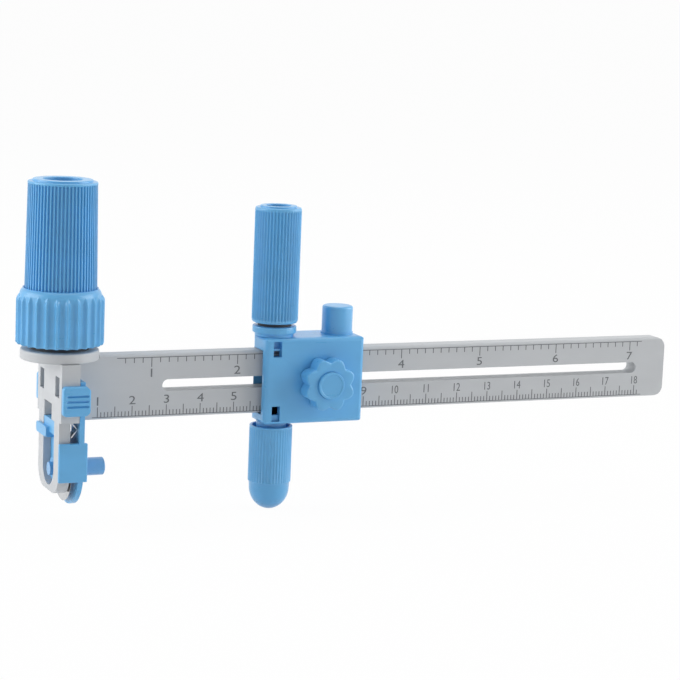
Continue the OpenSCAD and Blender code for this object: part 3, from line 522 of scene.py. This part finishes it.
class Finish(Maker):
    """A node material under construction."""

    def __init__(self, name, colour_value, roughness, **constants):
        self.material = bpy.data.materials.new(name)
        super().__init__(self.material)
        self.shader = self.tree.nodes["Principled BSDF"]
        self.base = (*colour_value, 1)
        self.material.diffuse_color = self.base
        self.shader.inputs["Base Color"].default_value = self.base
        self.shader.inputs["Roughness"].default_value = roughness
        for socket, value in constants.items():
            self.shader.inputs[socket.replace("_", " ")].default_value = value
        self.position = self.node("ShaderNodeTexCoord", {}, {}, "Object")

    def out(self, socket, value):
        """Feeds a socket of the surface's shader."""
        self.feed(self.shader.inputs[socket], value)

    def noise(self, size, detail=2.0, stretch=(1, 1, 1)):
        """Noise whose features are about as large as size in metres, stretched along an axis."""
        place = self.node("ShaderNodeMapping", {"vector_type": "TEXTURE"},
                          {"Vector": self.position, "Scale": tuple(size * s for s in stretch)})
        return self.node("ShaderNodeTexNoise", {"noise_dimensions": "3D"},
                         {"Vector": place, "Scale": 1.0, "Detail": detail})

    def mix(self, amount, first, second):
        """Colour from first to second by amount."""
        return self.node("ShaderNodeMix", {"data_type": "RGBA"},
                         {0: amount, 6: first, 7: second}, 2)

    def shade(self, factor):
        """The base colour times a number, as a colour."""
        return tuple(min(c * factor, 1) for c in self.base[:3]) + (1,)

    def bump(self, height, strength, distance):
        """Normal that a height signal, in units of distance, gives."""
        return self.node("ShaderNodeBump", {}, {"Height": height, "Strength": strength,
                                                "Distance": distance})


def moulded(name, colour_value, roughness, grain, mottle, coat=0.0):
    """Moulded plastic: slow flow marks vary the colour, a fine spark-eroded grain breaks the
    gloss, and faint rubbed streaks smooth it again."""
    finish = Finish(name, colour_value, roughness, Coat_Roughness=0.2)
    flow_size, speck_size, pore_size, streak_size = 9 * MM, 0.5 * MM, 0.11 * MM, 1.4 * MM
    grain_height, dust_share = 0.02 * MM, 0.35
    flow = finish.noise(flow_size, 3, (1.6, 1.0, 0.7))
    speck = finish.noise(speck_size)
    pores = finish.noise(pore_size)
    streak = finish.noise(streak_size, 4, (6, 1, 0.5))
    tint = finish.mix(flow.between(0.3, 0.7), finish.shade(1 - mottle), finish.shade(1 + mottle))
    dust = speck.between(0.66, 0.8) * dust_share
    finish.out("Base Color", finish.mix(dust, tint, finish.shade(1 + 3 * mottle)))
    rub = streak.between(0.56, 0.72)
    finish.out("Roughness", roughness + (flow - 0.5) * 0.1 + (speck - 0.5) * 0.08 - rub * 0.07)
    finish.out("Normal", finish.bump(pores * 0.6 + speck * 0.4, grain, grain_height))
    if coat:
        finish.out("Coat Weight", coat - rub * coat * 0.5)
    return finish.material


def ground_steel(name, colour_value, roughness, centre=None):
    """Steel: fine grinding marks, in rings about the centre or along the piece, vary the
    gloss, with a few darker stains."""
    finish = Finish(name, colour_value, roughness, Metallic=1.0, Anisotropic=0.3)
    mark_width, mark_depth, stain_size = 0.12 * MM, 0.01 * MM, 2.2 * MM
    if centre is None:
        marks = finish.noise(mark_width, 3, (1, 1, 9))
    else:
        offset = finish.node("ShaderNodeVectorMath", {"operation": "SUBTRACT"},
                             {0: finish.position, 1: centre})
        flat = finish.node("ShaderNodeVectorMath", {"operation": "MULTIPLY"},
                           {0: offset, 1: (0, 1, 1)})
        away = finish.node("ShaderNodeVectorMath", {"operation": "LENGTH"}, {0: flat}, "Value")
        marks = finish.node("ShaderNodeTexNoise", {"noise_dimensions": "1D"},
                            {"W": away / mark_width, "Scale": 1.0, "Detail": 3.0})
    stain = finish.noise(stain_size, 3)
    finish.out("Base Color", finish.mix(stain.between(0.45, 0.75), finish.base,
                                        finish.shade(0.8)))
    finish.out("Roughness", roughness + (marks - 0.5) * 0.25 + stain.between(0.5, 0.8) * 0.1)
    finish.out("Normal", finish.bump(marks, 0.25, mark_depth))
    return finish.material


def printed_ink(name, colour_value):
    """Ink of the ruler's lines and figures: thin patches of it are paler."""
    finish = Finish(name, colour_value, 0.6)
    patch_size, patch_height = 0.35 * MM, 0.02 * MM
    patch = finish.noise(patch_size, 3)
    finish.out("Base Color", finish.mix(patch.between(0.35, 0.75), finish.shade(0.86),
                                        finish.shade(1.25)))
    finish.out("Roughness", 0.5 + patch * 0.25)
    finish.out("Normal", finish.bump(patch, 0.4, patch_height))
    return finish.material


def floor_paint(settings):
    """Matt white floor. A direct look at it, or one in a mirror, mixes in plain white, so that
    it meets the white world, and the rest is lit and keeps the shadow."""
    finish = Finish("studio_floor", settings.floor_tone, 0.9)
    grain = finish.noise(30 * MM)
    finish.out("Base Color", finish.mix(grain, finish.base, finish.shade(0.98)))
    white = finish.node("ShaderNodeEmission", {}, {"Color": (1, 1, 1, 1), "Strength": 1.0})
    mixed = finish.node("ShaderNodeMixShader", {}, {
        0: finish.seen() * settings.floor_lift,
        1: Signal(finish, finish.shader.outputs[0]), 2: white})
    finish.feed(finish.tree.nodes["Material Output"].inputs["Surface"], mixed)
    return finish.material


FINISHES = {}


def finish_for(slot):
    """The finish of a material slot, or one of another name below, made on first use."""
    look = bpy.context.scene.cutter_finish
    makers = {
        "blue_plastic": lambda: moulded("blue_plastic", look.blue, look.blue_gloss,
                                        grain=0.25, mottle=0.035, coat=0.25),
        "deep_blue": lambda: moulded("deep_blue_plastic", look.deep_blue, 0.3,
                                     grain=0.2, mottle=0.03, coat=0.3),
        "grey_plastic": lambda: moulded("grey_plastic", look.grey, look.grey_gloss,
                                        grain=0.35, mottle=0.02),
        "dark_plastic": lambda: moulded("dark_plastic", look.dark, 0.6, grain=0.4, mottle=0.08),
        "steel": lambda: ground_steel("steel", look.steel, 0.28),
        "blade_steel": lambda: ground_steel("blade_steel", look.steel, 0.2,
                                            tuple(span("rotary_blade")[2])),
        "ink": lambda: printed_ink("scale_ink", look.ink),
    }
    if slot not in FINISHES:
        FINISHES[slot] = makers[slot]()
    return FINISHES[slot]


# Pieces

class CUTTER_OT_finishes(bpy.types.Operator):
    """Give every packed node the finish of its material slot"""

    bl_idname = "cutter.finishes"
    bl_label = "Finishes"

    def execute(self, context):
        special = {"rotary_blade": "blade_steel", "blade_pin": "deep_blue",
                   "needle_holder": "deep_blue"}
        for part in frame["record"]["subparts"]:
            node = part["node"]
            mesh = frame["nodes"][node].data
            mesh.materials.clear()
            mesh.materials.append(finish_for(special.get(node, part["material_slot"])))
        return {"FINISHED"}


class CUTTER_OT_mouldings(bpy.types.Operator):
    """Round the edges of the frame, the ruler, the blade's carrier and the slider"""

    bl_idname = "cutter.mouldings"
    bl_label = "Mouldings"

    def execute(self, context):
        edge = context.scene.cutter_edge
        softened("head_frame", edge.frame_edge)
        softened("ruler_bar", edge.ruler_edge)
        softened("blade_carrier", edge.frame_edge)
        softened("slider_body", edge.slider_edge, outer=edge.slider_corner)
        softened("slider_cover", edge.slider_edge, outer=edge.slider_corner)
        return {"FINISHED"}


class CUTTER_OT_guard(bpy.types.Operator):
    """Round the guard's plate and make its grooved thumb pads"""

    bl_idname = "cutter.guard"
    bl_label = "Guard"

    def execute(self, context):
        high = span("blade_guard")[1]
        plate_y, overlap = 11.4 * MM, 0.25 * MM
        foot, head = 25.85 * MM, 34.05 * MM
        corner, edge = 1.1 * MM, 0.55 * MM
        softened("blade_guard", context.scene.cutter_edge.guard_edge, cut_y=plate_y)
        for name, side in (("thumb_pad_front", -1), ("thumb_pad_back", 1)):
            ends = sorted((side * (plate_y - overlap), side * high[1]))
            points, faces = tablet((FRAME_BACK, ends[0], foot), (high[0], ends[1], head),
                                   corner, edge, self.grooves(side, foot, head, high))
            put_mesh(name, points, faces, "guard", "blue_plastic", MADE_SHARP)
        return {"FINISHED"}

    def grooves(self, side, foot, head, high):
        """Three grooves across the outer face: round-bottomed dips in the pad's height that
        fade out before its ends. The two corners on the ruler's side are cut at 45 degrees."""
        pitch, wide, deep, cut = 1.45 * MM, 0.62 * MM, 0.6 * MM, 1.2 * MM
        centre, half = (foot + head) / 2, (head - foot) / 2
        reach, outer = high[:2]

        def carve(points):
            x, y, z = points.T
            dip = sum(ramp(abs(z - centre - k * pitch), wide / 2, wide / 5) for k in (-1, 0, 1))
            run = (ramp(x, FRAME_BACK + 0.8 * MM, FRAME_BACK + 1.4 * MM)
                   * ramp(x, reach - 0.5 * MM, reach - 0.9 * MM))
            face = ramp(side * y, outer - 0.5 * MM, outer - 0.2 * MM)
            limit = reach - np.maximum(0, abs(z - centre) - (half - cut))
            return np.stack([np.minimum(x, limit) - x, -side * deep * dip * run * face,
                             np.zeros_like(z)], -1)

        return carve


class CUTTER_OT_grip(bpy.types.Operator):
    """Make the ribbed barrel and the fluted collar of the grip"""

    bl_idname = "cutter.grip"
    bl_label = "Grip"

    def execute(self, context):
        self.barrel(context.scene.cutter_grip)
        self.collar(context.scene.cutter_grip)
        return {"FINISHED"}

    def barrel(self, grip):
        """Outline from the spigot's foot up the ribbed side, over the rim and the raised ring,
        and down the socket, the spindle's hole and the bush's bore. The ribs are a wave round
        the side with steepened flanks, and their tops lie a little deeper than the rim."""
        low, high, _ = span("grip_barrel")
        wide, bush, spindle = map(radius_of, ("grip_barrel", "grip_bushes", "swivel_spindle"))
        bush_top = span("grip_bushes")[1][2]
        bore, deep = bore_of("grip_socket")
        floor = high[2] - deep
        foot = span("grip_collar")[1][2] - COLLAR_LIP
        ring_r, ring_h = 8.2 * MM, 0.6 * MM
        rim = high[2] - ring_h
        band, taper, edge = 0.6 * MM, 0.42 * MM, 0.3 * MM
        outline = rounded([
            (SPIGOT_R, low[2], 0), (SPIGOT_R, foot, 0), (wide, foot, 0),
            (wide - taper, rim - band - edge, 0), (wide - taper, rim - band, 0),
            (wide - taper, rim, edge), (ring_r, rim, 0.12 * MM),
            (ring_r, high[2], 0.22 * MM), (bore, high[2], 0.35 * MM), (bore, floor, 0.3 * MM),
            (spindle, floor, 0), (spindle, bush_top, 0), (bush, bush_top, 0),
            (bush, low[2], 0),
        ])
        ribs, depth = grip.barrel_ribs, grip.barrel_rib_depth
        floor_share = 0.08

        def relief(radius, height, angle):
            side = (radius > wide - taper - edge) & (height > foot - edge)
            stretch = ramp(height, rim - band + 0.05 * MM, rim - band - edge)
            valley = 1 - ramp(crest(angle, ribs, 1), 0.22, 0.74)
            return -depth * side * stretch * (valley * (1 - floor_share) + floor_share)

        turned("ribbed_barrel", "grip_barrel", outline, ribs * 16, relief=relief)

    def collar(self, grip):
        """Outline of the collar with an elliptical shoulder. Between the ridges the side lies
        deeper by their height. Towards the shoulder the wave sinks, so each ridge narrows to
        a point and the band over it is smooth."""
        low, high, _ = span("grip_collar")
        wide, seat = radius_of("grip_collar"), 10.05 * MM
        ledge = high[2] - COLLAR_LIP
        top = ledge + 0.3 * MM
        brim, bevel_w, bevel_h = 0.25 * MM, 0.35 * MM, 0.3 * MM
        shoulder_w, shoulder_h = wide - seat - brim, 2.1 * MM
        t = np.linspace(0, math.pi / 2, 14)[:, None]
        shoulder = np.hstack([seat + brim + shoulder_w * np.cos(t),
                              top - shoulder_h + shoulder_h * np.sin(t)])
        steps = np.linspace(0, 1, 25)[1:, None]
        side = np.array([[wide, low[2] + bevel_h]]) * (1 - steps) + shoulder[:1] * steps
        outline = np.vstack([
            [[SPIGOT_R, low[2]], [wide - bevel_w, low[2]], [wide, low[2] + bevel_h]],
            side[:-1], shoulder, [[seat, top - 0.1 * MM], [seat, ledge], [SPIGOT_R, ledge]],
        ])
        ridges, depth = grip.collar_ridges, grip.ridge_height
        tip, fade = top - 1.5 * MM, 1.7 * MM

        def relief(radius, height, angle):
            level = ramp(height, tip, tip - fade)
            raised = np.clip(crest(angle, ridges, 2.2) - (1 - level), 0, 1)
            return -depth * (1 - raised) * ramp(radius, seat + 0.2 * MM, seat + 1.1 * MM)

        turned("fluted_collar", "grip_collar", outline, ridges * 24, relief=relief)


class CUTTER_OT_handle(bpy.types.Operator):
    """Make the ribbed handle over the slider and the collar that it stands on"""

    bl_idname = "cutter.handle"
    bl_label = "Handle"

    def execute(self, context):
        self.handle(context.scene.cutter_grip)
        self.seat()
        return {"FINISHED"}

    def handle(self, grip):
        """Outline from the bush's bore over the foot's bevel and band, up the ribbed side, over
        the rim and the raised ring, and down the socket and the spindle's hole. The ribs are
        fine_ribs between the two bands."""
        low, high, _ = span("pivot_handle")
        wide, bush, shaft = radius_of("pivot_handle"), radius_of("handle_bushes"), 1.95 * MM
        bush_top = span("handle_bushes")[1][2]
        bore, deep = bore_of("handle_socket")
        floor = high[2] - deep
        ring_r, ring_h, band, bevel = 5.2 * MM, 0.5 * MM, 0.8 * MM, 0.35 * MM
        rim = high[2] - ring_h
        foot_band = low[2] + band
        outline = rounded([
            (bush, low[2], 0), (wide - bevel, low[2], 0.1 * MM),
            (wide - 0.08 * MM, low[2] + bevel, 0), (wide, foot_band, 0),
            (wide, foot_band + bevel, 0), (wide, rim - band - bevel, 0),
            (wide, rim - band, 0), (wide - 0.1 * MM, rim, 0.35 * MM), (ring_r, rim, 0.1 * MM),
            (ring_r, high[2], 0.2 * MM), (bore, high[2], 0.25 * MM), (bore, floor, 0.2 * MM),
            (shaft, floor, 0), (shaft, bush_top, 0), (bush, bush_top, 0),
        ])
        relief = fine_ribs(grip.handle_ribs, grip.handle_rib_depth, wide,
                           (foot_band - 0.1 * MM, foot_band + bevel),
                           (rim - band + 0.1 * MM, rim - band - bevel))
        turned("ribbed_handle", "pivot_handle", outline, grip.handle_ribs * 12, relief=relief)

    def seat(self):
        """Collar under the handle: a flange over a narrower neck."""
        low, high, _ = span("pivot_collar")
        wide = radius_of("pivot_collar")
        bore, neck, step = 1.9 * MM, wide - 0.7 * MM, 0.9 * MM
        outline = rounded([
            (bore, low[2], 0), (neck, low[2], 0), (neck, low[2] + step, 0.15 * MM),
            (wide, low[2] + step, 0.25 * MM), (wide, high[2], 0.3 * MM), (bore, high[2], 0),
        ])
        turned("handle_seat", "pivot_collar", outline, 96)


class CUTTER_OT_needle_cap(bpy.types.Operator):
    """Make the ribbed cap over the needle"""

    bl_idname = "cutter.needle_cap"
    bl_label = "Needle cap"

    def execute(self, context):
        self.cap(context.scene.cutter_grip)
        return {"FINISHED"}

    def cap(self, grip):
        """Outline from the tip over an elliptical nose, up the ribbed side to the mouth, and
        down the wide bore and the narrow one round the needle. The ribs are fine_ribs."""
        low, high, _ = span("needle_cap")
        wide, top = radius_of("needle_cap"), high[2]
        nose_w, nose_h, edge = wide - 0.4 * MM, 6.4 * MM, 0.2 * MM
        rib_foot, band = low[2] + 8.3 * MM, 0.6 * MM
        rib_head = top - band
        bore, bore_len, tip_bore, tip_wall = 4.45 * MM, 17 * MM, 1.5 * MM, 2.6 * MM
        mouth, mouth_h = bore + 0.9 * MM, 1.2 * MM
        t = np.linspace(0, math.pi / 2, 20)[:, None]
        nose = np.hstack([nose_w * np.sin(t), low[2] + nose_h * (1 - np.cos(t))])
        nose[0, 0] = 0
        wall = rounded([
            (wide - 0.28 * MM, rib_foot - 0.4 * MM, 0), (wide, rib_foot, 0),
            (wide, rib_foot + edge, 0), (wide, rib_head - edge, 0), (wide, rib_head, 0),
            (wide, top, 0.2 * MM), (mouth, top, 0.2 * MM), (mouth, top - mouth_h, 0),
            (bore, top - mouth_h, 0), (bore, top - bore_len, 0),
            (tip_bore, top - bore_len, 0), (tip_bore, low[2] + tip_wall, 0),
        ])
        outline = np.vstack([nose, wall, [[0, low[2] + tip_wall]]])
        relief = fine_ribs(grip.handle_ribs, grip.cap_rib_depth, wide,
                           (rib_foot - 0.05 * MM, rib_foot + edge),
                           (rib_head + 0.05 * MM, rib_head - edge))
        turned("ribbed_cap", "needle_cap", outline, grip.handle_ribs * 12, relief=relief)


class CUTTER_OT_knob(bpy.types.Operator):
    """Make the lobed clamp knob and its centre cap"""

    bl_idname = "cutter.knob"
    bl_label = "Clamp knob"

    def execute(self, context):
        self.knob(context.scene.cutter_grip)
        self.cap()
        return {"FINISHED"}

    def knob(self, grip):
        """Heights run from the knob's back towards the front. The lobes are a wave on the
        whole side, and the front edge is rounded."""
        low, high, _ = span("clamp_knob")
        wide, tall = radius_of("clamp_knob"), (high - low)[1]
        seat, screw = radius_of("knob_cap") + 0.05 * MM, 1.45 * MM
        recess, socket, socket_h = 1.2 * MM, 2.75 * MM, 2 * MM
        outline = rounded([
            (screw, 0, 0), (wide, 0, 0.25 * MM), (wide, tall, 0.55 * MM),
            (seat, tall, 0.12 * MM), (seat, tall - recess, 0), (socket, tall - recess, 0),
            (socket, tall - recess - socket_h, 0), (screw, tall - recess - socket_h, 0),
        ])
        lobes, depth = grip.knob_lobes, grip.lobe_depth

        def relief(radius, height, angle):
            return -depth * ramp(radius, seat + 0.2 * MM, wide - 0.9 * MM) * (
                1 - crest(angle + math.pi / lobes, lobes, 0.68))

        turned("lobed_knob", "clamp_knob", outline, lobes * 32, "-Y", relief)

    def cap(self):
        """Flat button with a raised rim round a dished face."""
        low, high, _ = span("knob_cap")
        wide, tall = radius_of("knob_cap"), (high - low)[1]
        rim, dish = 0.55 * MM, 0.22 * MM
        outline = rounded([
            (0, 0, 0), (wide, 0, 0), (wide, tall, 0.16 * MM), (wide - rim, tall, 0.12 * MM),
            (wide - rim - dish, tall - dish, 0.1 * MM), (0, tall - dish, 0),
        ])
        turned("knob_button", "knob_cap", outline, 128, "-Y")


class CUTTER_OT_scales(bpy.types.Operator):
    """Put the centimetre and inch scales on the ruler's front face"""

    bl_idname = "cutter.scales"
    bl_label = "Scales"

    def execute(self, context):
        scale = context.scene.cutter_scale
        low, _, middle = span("ruler_bar")
        face = low[1]
        zero = -1.1 * MM
        inch, centimetre = 25.4 * MM, 10 * MM
        foot, head = middle[2] - 8.35 * MM, middle[2] + 8 * MM
        millimetres, tenths = np.arange(10, 182), np.arange(7, 72)
        foot_rule = (7.4 * MM, zero + 18.25 * centimetre)
        head_rule = (14.2 * MM, zero + 7.16 * inch)
        rise = np.where(millimetres % 5 == 0, scale.centimetre_tick, scale.short_tick)
        self.lines("centimetre_lines", scale, face, zero + millimetres * MM, foot, foot + rise,
                   foot, foot_rule)
        drop = np.where(tenths % 10 == 0, scale.inch_tick, scale.short_tick)
        self.lines("inch_lines", scale, face, zero + tenths * inch / 10, head - drop, head,
                   head, head_rule)
        above = foot + scale.centimetre_tick + scale.figure_gap
        self.figures("centimetre_figures", scale, face,
                     [(k, zero + k * centimetre, above) for k in range(1, 19)])
        below = head - scale.inch_tick - scale.figure_gap - scale.figure
        self.figures("inch_figures", scale, face,
                     [(k, zero + k * inch, below) for k in range(1, 8)])
        return {"FINISHED"}

    def lines(self, name, scale, face, places, start, end, base, rule):
        """One thin box for each graduation, and one for the base line, which is a little
        lower than the rest where they cross."""
        lows = np.stack([places - scale.line / 2, np.full(len(places), face - scale.relief),
                         np.broadcast_to(start, places.shape)], -1)
        highs = np.stack([places + scale.line / 2, np.full(len(places), face + scale.line),
                          np.broadcast_to(end, places.shape)], -1)
        rule_low = [rule[0], face - scale.relief * 0.9, base - scale.base_line / 2]
        rule_high = [rule[1], face + scale.line, base + scale.base_line / 2]
        points, faces = boxes(np.vstack([lows, rule_low]), np.vstack([highs, rule_high]))
        put_mesh(name, points, faces, "frame", "dark_plastic", finish="ink")

    def figures(self, name, scale, face, places):
        """Plain figures: each is set in the built-in typeface, made a mesh, scaled to its
        height and width, and stood on the ruler's face."""
        points, faces, count = [], [], 0
        for number, across, up in places:
            outline, shape = self.figure(str(number))
            size = outline.max(0) - outline.min(0)
            outline = (outline - (outline.max(0) + outline.min(0)) / 2) / size[1]
            outline[:, 0] *= scale.figure_width * (scale.narrow if number > 9 else 1)
            outline[:, :2] *= scale.figure
            depth = np.where(outline[:, 2] > 0, face - scale.relief, face + scale.line)
            points.append(np.stack([outline[:, 0] + across, depth,
                                    outline[:, 1] + up + scale.figure / 2], -1))
            faces += [[i + count for i in f] for f in shape]
            count += len(outline)
        mesh = bpy.data.meshes.new(name)
        mesh.from_pydata(np.vstack(points), [], faces)
        work = bmesh.new()
        work.from_mesh(mesh)
        bmesh.ops.remove_doubles(work, verts=work.verts, dist=1e-7)
        bmesh.ops.recalc_face_normals(work, faces=work.faces)
        work.to_mesh(mesh)
        work.free()
        put_piece(name, mesh, "frame", "dark_plastic", finish="ink")

    def figure(self, text):
        """Points and faces of a text in the built-in typeface, one unit deep."""
        curve = bpy.data.curves.new("figure", "FONT")
        curve.body, curve.extrude, curve.resolution_u = text, 0.5, 4
        holder = bpy.data.objects.new("figure", curve)
        mesh = bpy.data.meshes.new_from_object(holder)
        points = np.zeros(len(mesh.vertices) * 3)
        mesh.vertices.foreach_get("co", points)
        shape = [list(p.vertices) for p in mesh.polygons]
        bpy.data.meshes.remove(mesh)
        bpy.data.objects.remove(holder)
        bpy.data.curves.remove(curve)
        return points.reshape(-1, 3), shape


class CUTTER_OT_stage(bpy.types.Operator):
    """Set up the floor, the lamps, the world and the camera"""

    bl_idname = "cutter.stage"
    bl_label = "Stage"

    def execute(self, context):
        stage = context.scene.cutter_stage
        self.floor(stage)
        self.lamps(stage)
        self.world(stage)
        self.camera()
        context.scene.view_settings.view_transform = "Standard"
        return {"FINISHED"}

    def floor(self, stage):
        """A round disc: the lathe of a thin flat outline."""
        low, high = cad_bounds
        level = low[2] - stage.floor_drop
        thin = 1 * MM
        outline = np.array([[0, level - thin], [stage.floor_radius, level - thin],
                            [stage.floor_radius, level], [0, level]])
        points, faces = lathe(outline, 64, ((low[0] + high[0]) / 2, 0, 0))
        mesh = bpy.data.meshes.new("studio_floor")
        mesh.from_pydata(points, [], [f for group in faces for f in group.tolist()])
        mesh.materials.append(floor_paint(stage))
        put_object("studio_floor", mesh)

    def lamps(self, stage):
        """Soft rectangular lamps, each aimed at the middle of the object."""
        low, high = (np.array(c) for c in cad_bounds)
        target = Vector((low + high) / 2)
        for name, place, width, power in (
            ("left_lamp", (-0.9, 0.22, 0.32), 0.9, stage.side_power),
            ("right_lamp", (0.98, -0.3, 0.28), 0.9, stage.side_power),
            ("top_lamp", (0.1, 0.15, 0.95), 0.8, stage.top_power),
            ("front_lamp", (0.0, -1.1, 0.5), 0.7, stage.front_power),
            ("back_lamp", (0.2, 0.95, 0.5), 0.7, stage.front_power),
        ):
            data = bpy.data.lights.new(name, "AREA")
            data.shape, data.size, data.energy = "SQUARE", width, power
            lamp = put_object(name, data)
            lamp.location = place
            aim = target - Vector(place)
            lamp.rotation_euler = aim.to_track_quat("-Z", "Y").to_euler()

    def world(self, stage):
        """Even light, and plain white where it is looked at or mirrored."""
        world = bpy.data.worlds.new("studio_world")
        bpy.context.scene.world = world
        maker = Maker(world)
        sockets = maker.tree.nodes["Background"].inputs
        sockets["Color"].default_value = (1, 1, 1, 1)
        maker.feed(sockets["Strength"], maker.node("ShaderNodeMapRange", {}, {
            "Value": maker.seen(), "To Min": stage.world_light, "To Max": 1.0}))

    def camera(self):
        """Camera of the photograph: place, turn and focal length fitted to the ruler's lines."""
        yaw, pitch, roll = (math.radians(a) for a in (23.699, 9.355, 2.319))
        place = Vector((-0.18224, -0.602099, 0.150677))
        frame_px, focal_px, sensor = 680, 2319.1, 36.0
        ahead = Vector((math.sin(yaw) * math.cos(pitch), math.cos(yaw) * math.cos(pitch),
                        -math.sin(pitch)))
        level = Vector((math.cos(yaw), -math.sin(yaw), 0))
        upright = level.cross(ahead)
        right = math.cos(roll) * level + math.sin(roll) * upright
        up = -math.sin(roll) * level + math.cos(roll) * upright
        data = bpy.data.cameras.new("photo_camera")
        data.sensor_width, data.lens = sensor, focal_px / frame_px * sensor
        data.clip_start, data.clip_end = 0.01, 40
        camera = put_object("photo_camera", data)
        turn = Matrix((right, up, -ahead)).transposed().to_4x4()
        camera.matrix_world = Matrix.Translation(place) @ turn
        bpy.context.scene.camera = camera


class CUTTER_PT_sidebar(bpy.types.Panel):
    """Sizes, colours and makers of the compass cutter"""

    bl_idname = "CUTTER_PT_sidebar"
    bl_label = "Compass cutter"
    bl_space_type = "VIEW_3D"
    bl_region_type = "UI"
    bl_category = "Compass cutter"

    def draw(self, context):
        layout = self.layout
        for maker in OPERATORS:
            layout.operator(maker.bl_idname)
        for key, group in SETTINGS.items():
            box = layout.box()
            box.label(text=group.__doc__)
            for prop in group.__annotations__:
                box.prop(getattr(context.scene, key), prop)


OPERATORS = (
    CUTTER_OT_stage,
    CUTTER_OT_finishes,
    CUTTER_OT_mouldings,
    CUTTER_OT_guard,
    CUTTER_OT_grip,
    CUTTER_OT_handle,
    CUTTER_OT_needle_cap,
    CUTTER_OT_knob,
    CUTTER_OT_scales,
)


def register():
    for key, group in SETTINGS.items():
        bpy.utils.register_class(group)
        setattr(bpy.types.Scene, key, PointerProperty(type=group))
    for item in (*OPERATORS, CUTTER_PT_sidebar):
        bpy.utils.register_class(item)


def unregister():
    for item in (CUTTER_PT_sidebar, *reversed(OPERATORS)):
        bpy.utils.unregister_class(item)
    for key, group in SETTINGS.items():
        delattr(bpy.types.Scene, key)
        bpy.utils.unregister_class(group)


def main():
    register()
    bpy.ops.cutter.stage()
    bpy.ops.cutter.finishes()
    bpy.ops.cutter.mouldings()
    bpy.ops.cutter.guard()
    bpy.ops.cutter.grip()
    bpy.ops.cutter.handle()
    bpy.ops.cutter.needle_cap()
    bpy.ops.cutter.knob()
    bpy.ops.cutter.scales()


if __name__ == "__main__":
    main()
